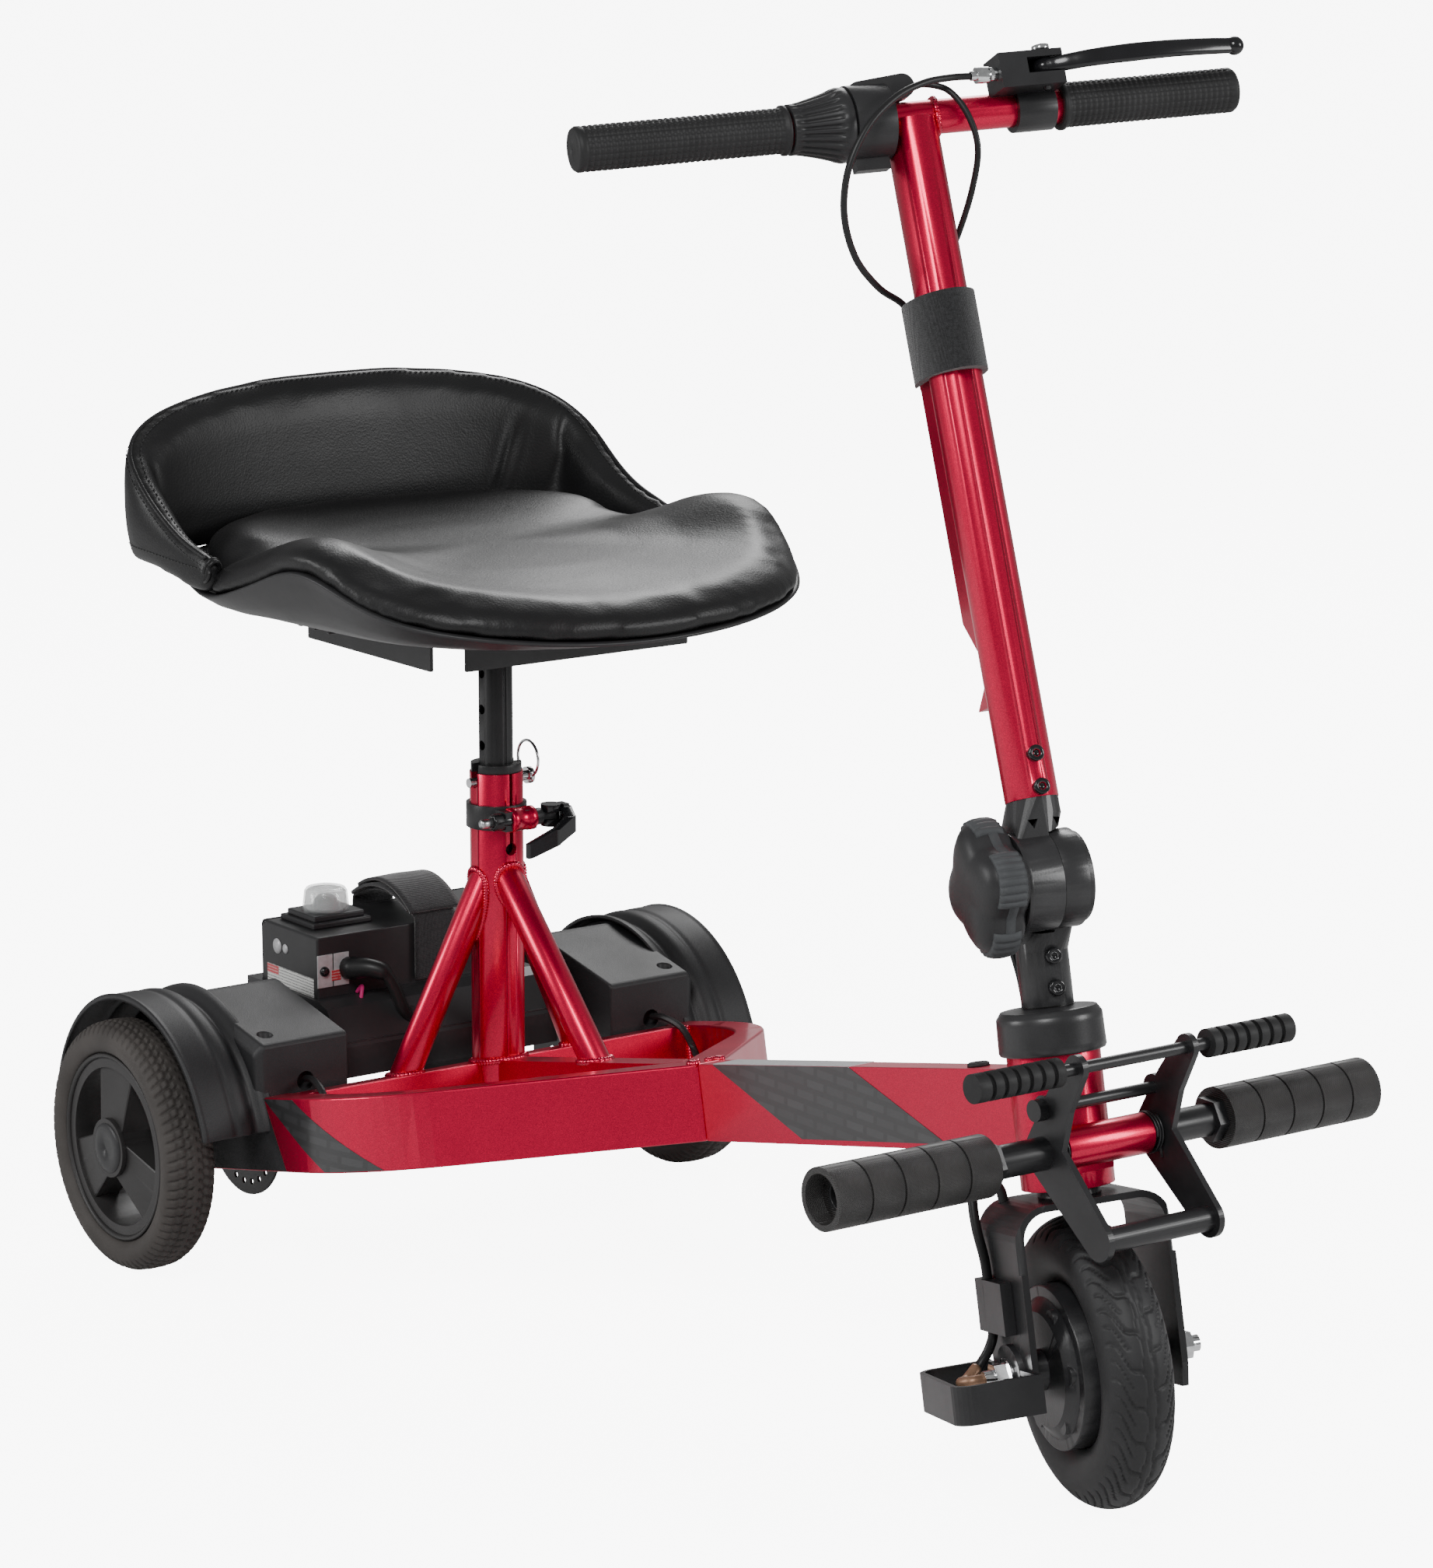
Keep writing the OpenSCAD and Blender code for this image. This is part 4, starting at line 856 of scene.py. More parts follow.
def wavy_tread(depth):
    """Front tyre: two ring grooves and S-shaped sipes that sweep back from the crown to the shoulders."""
    def ripple(y, a):
        side = np.abs(y)
        bend = 1.5 * (side / 24) ** 0.7 + 0.16 * np.sin(side / 2.6)
        phase = (a * FRONT_WAVES / (2 * np.pi) - bend + np.where(y > 0, 0.5, 0)) % 1
        sipe = step(0.075 - np.abs(phase - 0.5), 0, 0.03) * step(side, 1.5, 4) * step(24.5 - side, 0, 2)
        short = step(0.055 - np.abs((phase + 0.5) % 1 - 0.5), 0, 0.03) * step(side, 11,
                13) * step(23.5 - side, 0, 2)
        ring = np.exp(-((side - 3.2 - 1.1 * np.sin(a * FRONT_WAVES)) / 0.8) ** 2)
        return -depth * np.clip(sipe + short + ring, 0, 1)
    return ripple


class SCOOTER_OT_tyres(Operator):
    """Cuts the treads of the three tyres and dresses the wheels"""

    bl_idname = "scooter.tyres"
    bl_label = "Tyres"

    def execute(self, context):
        depth = context.scene.scooter_sizes.tread_depth
        for side, sign in (("right", -1), ("left", 1)):
            hub = shifted(0, sign * REAR_TRACK, REAR_TYRE_R)
            outer = rear_section()[:, 1] > TREAD_FROM
            tyre = turned(f"rear_tread_{side}", rear_section(), material("tyre_rubber"), place=hub,
                          count=REAR_STEPS,
                          ripple=lambda y, a, outer=outer: block_tread(depth)(y, a) * outer[:, None])
            finish_piece(tyre, f"{side}_wheel", (f"rear_tyre_{side}",))
            out = sign * 1.0
            dress = [turned("rim_lip", [(out * 15.5, 75), (out * 17.6, 77.8), (out * 19.2, 77.6),
                                        (out * 19.4, 75.6), (out * 17.4, 73.5)],
                            material("wheel_plastic"), place=hub, count=96),
                     turned("hub_cap", [(out * 23.6, 0.3), (out * 25.6, 0.3), (out * 25.4, 17),
                                        (out * 24.6, 20.5), (out * 23.4, 21)],
                            material("smooth_plastic"), place=hub, count=64)]
            finish_piece(joined(f"wheel_dress_{side}", dress), f"{side}_wheel")
        phi = np.linspace(BEAD_ANGLE, -BEAD_ANGLE, 84)
        half = FRONT_TYRE_W / 2
        section = np.stack([half * np.sin(phi), FRONT_TYRE_R - half + half * np.cos(phi)], -1)
        tyre = turned("front_tread", section, material("front_rubber"), place=front_hub, count=FRONT_STEPS,
                      ripple=lambda y, a: wavy_tread(depth * 0.8)(y, a)
                      * (np.abs(phi) < TREAD_ANGLE)[:, None])
        finish_piece(tyre, "front_wheel", ("front_tyre",))
        trim = []
        for s in (1, -1):
            trim.append(turned("rim_line", [(s * 19.2, 71.2), (s * 20.6, 71.6), (s * 20.6, 72.9),
                                            (s * 19.2, 73.3)],
                               material("chrome"), place=front_hub, count=128))
            for k in range(6):
                a = 2 * np.pi * (k + 0.5) / 6
                spot = shifted(64.5 * np.cos(a), 0, 64.5 * np.sin(a), front_hub)
                screw = turned("motor_screw", [(s * 12, 0.4), (s * 16.4, 0.4), (s * 16.9, 2), (s * 16.6, 3.6),
                                               (s * 12, 3.8)],
                               material("chrome"), place=spot, count=20)
                boss = turned("screw_boss", [(s * 11, 0.4), (s * 15.2, 0.4), (s * 15.2, 5.6), (s * 14.4, 6.4),
                                             (s * 11, 6.6)],
                              material("motor_black"), place=spot, count=24)
                trim += [boss, screw]
        finish_piece(joined("front_rim_trim", trim), "front_wheel")
        return {"FINISHED"}


# ---------- controls ----------
def ribbed_grip(name, inner, outer, sign, place, material_name="grip_rubber"):
    """A rubber grip: r = 16.6 with ring grooves every 4.4 mm, each ring split into 22 pads."""
    length = outer - inner
    y = np.linspace(0, length, int(length / 1.1))
    radius = 16.6 - 1.4 * step(y, length - 3, length) ** 2
    profile = np.concatenate([[(0, 12.75)], np.stack([y, radius], -1),
                              [(length + 0.4, 12), (length + 0.4, 0.4), (length - 1, 0.4),
                               (length - 1.2, 12.74)]])

    def ripple(along, a):
        pad = step(np.abs((along / 4.4) % 1 - 0.5), 0.27, 0.42)
        split = step(np.abs((a * 22 / (2 * np.pi)) % 1 - 0.5), 0.32, 0.44)
        band = step(along, 5, 7) * step(length - 5 - along, 0, 2)
        collar = 1.6 * step(4.6 - along, 0, 1) * step(along, 0, 0.8)
        relief = collar - band * np.maximum(pad, 0.75 * split)
        return np.where(along <= 0, 0, relief) * (along < length - 0.5)

    profile[:, 0] = sign * (inner + profile[:, 0])
    return turned(name, profile, material(material_name), place=place, count=176,
                  ripple=lambda along, a: ripple(np.abs(along) - inner, a))


def knob_radius(a):
    """Four lobes: r = 37 + 11 (0.5 + 0.5 cos 4(a - 10 deg))^0.8."""
    return 37 + 11 * (0.5 + 0.5 * np.cos(4 * (a - np.radians(10)))) ** 0.8


def knob_place(points):
    """From the knob's axis, which is the fold pivot's."""
    return column(np.asarray(points, float) + PIVOT)


class SCOOTER_OT_controls(Operator):
    """Builds the grips, throttle cone, lever, knob, springs and cables"""

    bl_idname = "scooter.controls"
    bl_label = "Controls"

    def execute(self, context):
        finish_piece(ribbed_grip("ribbed_grip_right", 96, GRIP_END, -1, handlebar), "tiller",
                     ("grip_right",))
        finish_piece(ribbed_grip("ribbed_grip_left", 116, GRIP_END, 1, handlebar), "tiller",
                     ("grip_left",))

        # Throttle cone: 24 flutes between two smooth bands
        profile = [(-50.2, 12.8), (-50.2, 26), (-51.5, 27.2), (-56, 27.4), (-59, 26.6)]
        profile += [(-y, 26.4 - 7.2 * t ** 0.8) for y, t in zip(np.linspace(60, 86, 12),
                                                                np.linspace(0, 1, 12))]
        profile += [(-88, 19), (-89, 18.6), (-94, 18.5), (-94.6, 18), (-94.6, 12.8)]

        def flutes(y, a):
            zone = step(-y, 58.5, 61) * step(90 + y, 0, 3)
            return -1.9 * zone * step(np.abs((a * 24 / (2 * np.pi)) % 1 - 0.5), 0.2, 0.36)
        cone = turned("throttle_cone", profile, material("smooth_plastic"), place=handlebar, count=288,
                      ripple=flutes)
        finish_piece(cone, "throttle", ("throttle_ring",))

        # Lever: a curved blade with a ball end on its pivot boss
        path = smooth_path([(27, 100, 23), (30, 107, 23), (36, 118, 23), (41, 134, 23.2), (43.5, 158, 23.6),
                            (43.5, 190, 24), (40, 222, 24.2), (35.5, 246, 24.2)], 8)
        t = np.linspace(0, 1, len(path))
        a = np.linspace(0, 2 * np.pi, 20, endpoint=False)
        wide = np.interp(t, [0, 0.12, 0.3, 0.8, 1], [6.4, 6.2, 4.6, 3.6, 3.4])
        high = np.interp(t, [0, 0.2, 0.6, 1], [5.4, 5.6, 6.6, 5.6])
        shape = np.stack([np.sign(np.cos(a)) * np.abs(np.cos(a)) ** 0.55,
                          np.sign(np.sin(a)) * np.abs(np.sin(a)) ** 0.55], -1)
        _, side, up = frames_along(path)
        blade = (path[:, None] + side[:, None] * shape[None, :, :1] * wide[:, None, None]
                 + up[:, None] * shape[None, :, 1:] * high[:, None, None])
        lever = [lofted("lever_blade", blade, material("gloss_black"), handlebar)]
        b = np.linspace(-np.pi / 2, np.pi / 2, 14)
        ball = np.stack([7 * np.sin(b), 7 * np.cos(b) + 0.01], -1)
        lever.append(turned("lever_ball", ball, material("gloss_black"),
                            place=shifted(35, 249, 24, handlebar), count=28, closed_profile=False))
        lever.append(turned("lever_pivot", [(6, 0.4), (6, 2.8), (17.6, 2.8), (17.6, 7.6), (28.5, 7.6),
                                            (28.5, 2.8), (36.5, 2.8), (36.5, 0.4)],
                            material("gloss_black"), "z", place=shifted(*LEVER_PIVOT, handlebar), count=32))
        lever.append(turned("lever_screw", [(35, 0.4), (35, 6), (36.2, 6.6), (39, 6.4), (39.4, 5.4),
                                            (39.4, 0.4)],
                            material("chrome"), "z", place=shifted(*LEVER_PIVOT, handlebar), count=32))
        finish_piece(joined("brake_lever_blade", lever), "lever", ("brake_lever",))

        # Knob with ribbed rubber on its lobes
        a = np.linspace(0, 2 * np.pi, 192, endpoint=False)
        base = knob_radius(a)
        levels = [(-28.2, 0.5), (-28.2, 0.84), (-29.4, 0.9), (-32, 0.955), (-36, 0.985), (-42, 1.0),
                  (-49, 0.99), (-54, 0.95), (-58, 0.88), (-61, 0.77), (-63, 0.6), (-64, 0.4),
                  (-64.3, 0.2), (-64.3, 0.02)]
        body = [np.stack([base * k * np.cos(a), np.full(192, y), base * k * np.sin(a)], -1)
                for y, k in levels]
        knob = [lofted("knob_body", body, material("smooth_plastic"), knob_place)]
        across = [(-32.5, 0.93), (-33.5, 0.985), (-37, 1.012), (-43, 1.022), (-49, 1.015), (-53.5, 0.985),
                  (-54.5, 0.93)]
        for k in range(4):
            b = np.radians(10) + k * np.pi / 2 + np.linspace(-0.5, 0.5, 90)
            rib = 1.7 * np.abs(np.sin(np.linspace(0, 8 * np.pi, 90))) ** 0.6
            r = knob_radius(b)
            rings = np.stack([np.stack([(r * q + rib * (q > 0.98)) * np.cos(b), np.full(90, y),
                                        (r * q + rib * (q > 0.98)) * np.sin(b)], -1) for y, q in across], 1)
            knob.append(lofted("knob_rubber", rings, material("grey_rubber"), knob_place))
        strip = np.stack([np.stack([base * q * np.cos(a), np.full(192, y), base * q * np.sin(a)], -1)
                          for y, q in ((-38, 0.97), (-38.5, 1.008), (-42, 1.012), (-45.5, 1.008),
                                       (-46, 0.97))], 1)
        knob.append(lofted("knob_strip", strip, material("grey_rubber"), knob_place, closed=True))
        knob.append(turned("knob_shaft", [(-30, 0.4), (-30, 5.9), (18, 5.9), (18, 0.4)], material("steel"),
                           place=knob_place, count=24))
        finish_piece(joined("lobed_knob", knob), "knob", ("hinge_knob",))

        # Black socket bolts on the tiller's foot and on the column
        for where, ups, x0, x1, body in ((tiller, (64.5, 88.5), 17.5, 25.0, "tiller"),
                                         (column, (379, 402), 16.5, 23.4, "steering")):
            heads = [turned("socket_bolt", [(x0, 0.4), (x0, 5.9), (x1 - 0.7, 5.9), (x1, 5.2), (x1, 2.9),
                                            (x1 - 2.8, 2.7), (x1 - 2.8, 0.3)], material("gloss_black"), "x",
                            shifted(0, 0, u, where), 30) for u in ups]
            finish_piece(joined(f"{body}_bolts", heads), body)

        # Springs on the footrest tube, between its sleeve and the pedal's plates
        coils = []
        for s in (1, -1):
            a = np.linspace(0, 2 * np.pi * 2.2, 110)
            helix = np.stack([14.6 * np.cos(a), s * (40.6 + 5.6 * a / a[-1]), 14.6 * np.sin(a)], -1)
            tail = helix[-1] + np.outer(np.linspace(0.15, 1, 6), [9, 0, -30])
            coils.append(tube("torsion_spring", np.vstack([helix, tail]), 1.9, material("satin"), peg_axis,
                              sides=8, smooth_it=False))
        finish_piece(joined("torsion_springs", coils), "frame")

        # Round, smooth cables in place of the faceted ones
        brake = [(26, 42, 21), (27, 26, 21), (31, 4, 18), (36, -22, 8), (38, -48, -12), (32, -66, -40),
                 (18, -70, -70), (0, -60, -98), (-16, -40, -118), (-27, -20, -129), (-29, -11, -145), (-30, -8, -182)]
        throttle = [(8, 2, 22), (10, 14, 22), (16, 28, 14), (19, 38, -6), (16, 42, -30), (2, 38, -56),
                    (-14, 28, -84), (-26, 14, -110), (-30, 8, -140), (-30, 8, -182)]
        finish_piece(tube("brake_cable_sheath", brake, 5.2, material("cable"), handlebar, per_span=10),
                     "tiller", ("brake_cable",))
        finish_piece(tube("throttle_cable_sheath", throttle, 4.8, material("cable"), handlebar, per_span=10),
                     "tiller", ("throttle_cable",))
        motor = [(-22, -42, 226), (-24, -44, 238), (-30, -52, 244), (-30, -62, 236), (-24, -65, 214),
                 (-16, -64.5, 190), (-14.3, -64.5, 172), (-14.3, -64.5, 140), (-16.5, -68, 126),
                 (-18, -77, 114), (-13, -90, 106)]
        lead = tube("motor_lead", motor, 7.4, material("cable"), column, per_span=8)
        sleeve = tube("lead_sleeve", [(-18, -79, 113), (-13, -90, 106), (-4, -97, 106.5), (5.7, -93, 107.7),
                                      (5.7, -84.2, 107.7)], 8.6, material("copper"), column)
        finish_piece(joined("motor_lead", [lead, sleeve]), "steering", ("motor_cable",))
        return {"FINISHED"}


# ---------- welds, decals, painted shade and rear details ---
def weld_bead(path, width, along=2.4):
    """A stack of overlapping puddles along a path: radius = w / 2 (0.72 + 0.28 |sin(pi s / along)|^0.5)."""
    fine = evenly(path, 0.8)
    s = np.arange(len(fine)) * 0.8
    size = 0.72 + 0.28 * np.abs(np.sin(np.pi * s / along)) ** 0.5
    size[[0, -1]] *= 0.5
    return lofted("weld", sweep(fine, circle(width / 2, 8), scale=size), material("weld"))


def rod_lines(a, b, radius, count):
    """Points round the start of a rod from a to b, and its direction."""
    a, b = np.array(a, float), np.array(b, float)
    d = (b - a) / np.linalg.norm(b - a)
    side = np.cross(d, [0, 0, 1.0])
    side /= np.linalg.norm(side) + 1e-9
    up = np.cross(side, d)
    phi = np.linspace(0, 2 * np.pi, count)
    return a + radius * (np.cos(phi)[:, None] * side + np.sin(phi)[:, None] * up), d


def rod_meets_tube(a, b, radius, centre, tube_r):
    """Where a rod from a to b enters an upright tube: |p_xy + t d_xy - c| = R on each of its lines."""
    p, d = rod_lines(a, b, radius, 72)
    q = p[:, :2] - centre
    k = d[:2] @ d[:2]
    m = q @ d[:2]
    t = (-m + np.sqrt(np.maximum(m ** 2 - k * ((q ** 2).sum(1) - tube_r ** 2), 0))) / k
    return p + t[:, None] * d


def rod_meets_deck(a, b, radius):
    """Where a rod from a to b lands on the deck beams' top plane."""
    p, d = rod_lines(a, b, radius, 60)
    n = turn_y(np.array([0, 0, 1.0]), -DECK_TILT)
    o = deck([0, 0, BEAM_HALF])
    return p + (((o - p) @ n) / (d @ n))[:, None] * d


def brace_welds(a, b, width):
    """The beads at a brace's top, on the seat tube, and at its foot, on the beams."""
    return [weld_bead(rod_meets_tube(a, b, BRACE_R, [SEAT_TUBE_X, 0], SEAT_TUBE_R), width),
            weld_bead(rod_meets_deck(a, b, BRACE_R), width)]


def plate_on(name, corners, thick, material_name, place=plain):
    """A thin flat film through four corners (mm), raised along its own normal."""
    c = np.array(corners, float)
    n = np.cross(c[1] - c[0], c[3] - c[0])
    n /= np.linalg.norm(n)
    verts = np.vstack([c - n * 0.2, c + n * thick])
    faces = [[3, 2, 1, 0], [4, 5, 6, 7]] + [[k, (k + 1) % 4, 4 + (k + 1) % 4, 4 + k] for k in range(4)]
    piece = new_piece(name, verts, faces, material(material_name), smooth=False, place=place)
    face_out(piece)
    return piece


def along_deck(x, z):
    """How far along the deck's tilted X a point lies: u = x cos t + (z - R) sin t."""
    return x * math.cos(DECK_TILT) + (z - REAR_TYRE_R) * math.sin(DECK_TILT)


def rail_film(name, side, top, bottom, material_name):
    """A film on a side rail's outer face: y = y0 + sqrt(r^2 - max(u - u0, 0)^2), flat up to the bend."""
    v, k = np.linspace(0, 1, 16)[:, None], np.linspace(0, 1, 20)[None, :]
    u = (top[0] * (1 - v) + bottom[0] * v) * (1 - k) + (top[1] * (1 - v) + bottom[1] * v) * k
    face = RAIL_BEND_Y + np.sqrt(RAIL_BEND_R ** 2 - np.maximum(u - RAIL_BEND_U, 0) ** 2)
    z = 29.2 - 58.4 * v + 0 * u
    outer, inner = (np.stack([u, side * (face + off), z], -1) for off in (0.35, -0.3))
    return lofted(name, np.concatenate([outer, inner[:, ::-1]], 1), material(material_name), deck,
                  smooth=False)


class SCOOTER_OT_frame_details(Operator):
    """Lays the weld beads, the decals, the painted shade on the rails' rear, the clamp's barrel and the spine's
    grommet
    """

    bl_idname = "scooter.frame_details"
    bl_label = "Frame Details"

    def execute(self, context):
        w = context.scene.scooter_sizes.weld_width
        beads = []
        for s in (1, -1):
            a, b = (136, s * 8, 328), (123, s * 96, 138)
            beads += brace_welds(a, b, w)
            beads.append(weld_bead(deck(np.array([[441, s * 12.9, z] for z in (-29, 0, 29)])), w * 1.2))
            beads.append(weld_bead(deck(np.array([[452 - 11 * k, s * 12.9, 30.6] for k in (0, 1)]
                                                 + [[441, s * 3, 30.6]])), w))
            for u in (124.5, 150.5):
                beads.append(weld_bead(deck(np.array([[u, s * 187.3, z] for z in (-30, 0, 30)])), w))
            beads.append(weld_bead(deck(np.array([[150.4, s * 12.9, z] for z in (-30, 0, 30)])), w))
            head = straight_column([[-34.2 * math.cos(s * 0.39), s * 12.9, z]
                                    for z in (237, 260, 285, 303)])
            beads.append(weld_bead(head, w))
        beads += brace_welds((141, 0, 331), (303, 0, 166), w)
        beads.append(weld_bead(rod_meets_deck((SEAT_TUBE_X, 0, 300), (SEAT_TUBE_X + 0.01, 0, 100),
                                              SEAT_TUBE_R + 0.3), w * 1.1))
        ring = np.linspace(0, 2 * np.pi, 60)
        for s in (1, -1):
            around = handlebar(np.stack([13.2 * np.cos(ring), s * (19.6 - 3 * np.cos(ring) ** 2),
                                         13.2 * np.sin(ring)], -1))
            beads.append(weld_bead(around, w * 0.8))
        split = [b for b in beads if mesh_points(b)[:, 2].min() < 700]
        upper = [b for b in beads if b not in split]
        finish_piece(joined("frame_welds", split), "frame")
        finish_piece(joined("tiller_welds", upper), "tiller")

        # Decals on the spine and at the rails' rear, and a black film that paints shade on the rails' rear ends
        film = []
        top0, top1, low1, low0 = (along_deck(x, z) for x, z in
                                  ((457, 230), (632, 266), (752, 238), (574, 198)))
        for s in (1, -1):
            quad = [(top0, s * SPINE_HALF, 30.2), (low0, s * SPINE_HALF, -26), (low1, s * SPINE_HALF, -26),
                    (top1, s * SPINE_HALF, 30.2)]
            film.append(plate_on("spine_decal", quad if s < 0 else quad[::-1], 0.35, "decal", deck))
            film.append(rail_film("rail_decal", s, (119.7, 164.6), (197.7, 256.4), "decal"))
            # Painted shade: a black film over each rail's rear end stands for shade there, not a decal
            film.append(rail_film("rail_painted_shade", s, (-34, 119.4), (-34, 142), "plastic"))
        top_film = [(x, y, BEAM_HALF) for x, y in ((top0, -11.8), (top1, -11.8), (top1, 11.8), (top0, 11.8))]
        film.append(plate_on("spine_top_film", top_film, 0.35, "reflective", deck))
        finish_piece(joined("frame_decals_and_painted_shade", film), "frame")

        bits = [turned("clamp_barrel", [(-9, 4.1), (-9, 9), (-8, 10), (-3, 10), (-2.6, 9.6), (8, 9.6),
                                        (8.4, 10), (14, 10), (15, 9), (15, 4.1)],
                       material("crimson"), place=shifted(*CLAMP), count=40),
                turned("clamp_nut", [(-25, 4.1), (-25, 6.6), (-24, 7.4), (-10.4, 7.8), (-9.2, 7.8),
                                     (-9.2, 4.1)],
                       material("gloss_black"), place=shifted(*CLAMP), count=6),
                turned("stud_end", [(-36, 0.3), (-36, 3), (-35, 3.9), (-25, 3.9), (-25, 0.3)],
                       material("steel"), place=shifted(*CLAMP), count=24)]
        grommet = [(30.4, 0.4), (30.4, 8.4), (32.6, 8.2), (33.6, 7), (33.4, 5.2), (31.8, 4.4), (31.6, 0.4)]
        u = along_deck(773, 295)
        bits.append(turned("spine_grommet", grommet, material("grip_rubber"), "z",
                           place=shifted(u, 0, 0, deck), count=32))
        finish_piece(joined("frame_bits", bits), "frame")
        return {"FINISHED"}


def rounded_box(name, low, high, radius, material_name, place=plain):
    """A box with rounder edges, its finish given by name."""
    return block(name, low, high, material(material_name), place, bevel=radius, segments=4)


class SCOOTER_OT_battery(Operator):
    """Adds the battery's switch, latch, label, boot, wire and soft strap"""

    bl_idname = "scooter.battery"
    bl_label = "Battery"

    def execute(self, context):
        top, front, right = BATTERY_TOP, BATTERY_FRONT, BATTERY_RIGHT
        at = shifted(-34, -62, 0)
        parts = [rounded_box("switch_foot", (-27, -29, top), (27, 29, top + 5), 1.5, "smooth_plastic", at),
                 rounded_box("switch_step", (-22, -25, top + 4.8), (22, 25, top + 10), 1.5, "smooth_plastic",
                             at),
                 turned("key", [(top + 10, 0.4), (top + 10, 11), (top + 18, 10), (top + 22, 6),
                                (top + 22.5, 0.4)], material("smooth_plastic"), "z", at, 32)]
        finish_piece(joined("switch_base", parts), "battery", ("key_switch",))
        # The clear cover is a closed skin round a closed hollow
        wall = [(top + 9.9, 0.4), (top + 9.9, 20), (top + 14, 19.6), (top + 26, 18.2), (top + 28.6, 16.4),
                (top + 29.5, 13), (top + 29.6, 0.4)]
        hollow = [(top + 10.6, 0.4), (top + 10.6, 18.6), (top + 14, 18.2), (top + 25.4, 16.8),
                  (top + 27.2, 15), (top + 28, 12), (top + 28.2, 0.4)]
        skins = [turned("switch_cover", line, material("dome"), "z", at, 64) for line in (wall, hollow)]
        skins[1].data.flip_normals()
        finish_piece(joined("switch_cover", skins), "battery")

        trim = []
        for y in (-96, -80):
            trim.append(rounded_box("latch_plate", (front, y - 7.4, 214), (front + 1.2, y + 7.4, 242), 0.4,
                                    "reflective"))
        trim.append(turned("latch_screw", [(front + 1, 0.3), (front + 1, 4.4), (front + 3.2, 4),
                                           (front + 4.4, 2), (front + 4.4, 0.3)],
                           material("gloss_black"), "x", shifted(0, -97, 228), 24))
        trim.append(rounded_box("latch_tab", (front + 0.8, -90, 219), (front + 1.8, -81, 228), 0.3,
                                "label_red"))
        y0 = right - 0.1
        trim.append(plate_on("spec_label", [(-62, y0, 190), (12, y0, 190), (12, y0, 221), (-62, y0, 221)],
                             0.25, "label"))
        trim.append(plate_on("label_header", [(-62, y0 - 0.2, 213), (-44, y0 - 0.2, 213),
                                              (-44, y0 - 0.2, 220.6), (-62, y0 - 0.2, 220.6)],
                             0.25, "label_red"))
        for k, r in ((-46, 6.5), (-33, 4.0)):
            disc = [(right, 0.3), (right, r), (right - 0.4, r), (right - 0.4, 0.3)]
            trim.append(turned("round_mark", disc, material("reflective"), "y", shifted(k, 0, 238), 32))
        finish_piece(joined("battery_trim", trim), "battery")

        boot = [(19, -74, 228), (27, -72, 229), (38, -64, 230), (46, -55, 226), (50, -48, 214),
                (52, -42, 198), (50, -34, 186), (50, -28, 176)]
        path = smooth_path(boot, 8)
        s = np.linspace(0, 1, len(path))
        size = np.interp(s, [0, 0.12, 0.2, 0.42, 0.46, 1], [1.5, 1.5, 1.35, 1.15, 0.82, 0.8])
        cable = [lofted("lead_boot", sweep(path, circle(6.4, 18), scale=size), material("cable")),
                 tube("magenta_wire", [(20, -66, 206), (25, -64, 212), (29, -67, 206), (31, -70, 192),
                                       (32, -70, 176)], 3.4, material("wire_red"))]
        finish_piece(joined("battery_boot", cable), "frame", ("battery_lead",))

        # Soft strap: up the front, over the top in a low raised loop of padded layers, and down the back
        layers = []
        for lift, thick, y0, y1, start, end in ((0, 2.2, -9, 31, -0.14, 1.14),
                                                (3.6, 3.2, -14, 34, 0.06, 0.96),
                                                (8.0, 3.0, -15, 35, 0.02, 0.86)):
            t = np.linspace(start, end, 70)
            c = np.clip(t, 0, 1)
            x = 22.5 + 1.2 * lift * 0.2 - c * 99 + 0.3 * lift
            z = (262 + (15 + lift) * np.sin(np.pi * c) ** 0.75 + lift * 0.35
                 - (np.clip(-t, 0, 1) + np.clip(t - 1, 0, 1)) * 380)
            x = np.where(t > 1, -76.5, np.where(t < 0, 22.5, x))
            ys = np.linspace(y0, y1, 12)
            edge = 0.8 * np.cos(np.linspace(-np.pi, np.pi, 12))
            path = np.stack([x, 0 * x, z], -1)
            tangent = np.gradient(path, axis=0)
            tangent /= np.linalg.norm(tangent, axis=1)[:, None]
            normal = np.stack([tangent[:, 2], 0 * x, -tangent[:, 0]], -1)
            normal *= np.where(normal[:, 2:] + 0.3 * (normal[:, :1] * (x[:, None] + 27) > 0) > 0, 1, -1)
            across = np.array([0, 1, 0]) * ys[None, :, None]
            upper = path[:, None] + across + normal[:, None] * (thick / 2 + 0.4 * edge)[None, :, None]
            lower = path[:, None] + across[:, ::-1] - normal[:, None] * (thick / 2)
            layers.append(lofted("strap_layer", np.concatenate([upper, lower], 1), material("webbing")))
        finish_piece(joined("battery_soft_strap", layers), "battery", ("battery_strap",))
        return {"FINISHED"}


# ---------- rear covers ----------
def fender_radius(y):
    """Outside radius of a mudguard across its width: a valley by the housing, a crest and a rolled lip."""
    return (124.2 - 7.0 * np.exp(-((y - 222.5) / 6.5) ** 2) - 1.2 * np.exp(-((y - 244) / 3.2) ** 2)
            + 0.9 * step(y, 270, 273.5) - 2.6 * step(y, 273.8, 275.2))


def housing_outline(inset, drop=0.0):
    """The housing from the side, its corners pulled in by the inset."""
    t = inset
    return np.array([(110 - t, 142), (110 - t, 161), (110 - t, 199 - 1.1 * t - drop),
                     (107 - t, 201.5 - t - drop), (3, 223 - t - drop),
                     (-2, 223.4 - t - drop), (-46 + t * 0.4, 210 - t - drop), (-50 + t * 0.5, 208 - t - drop),
                     (-74 + t, 166), (-74 + t, 128)])


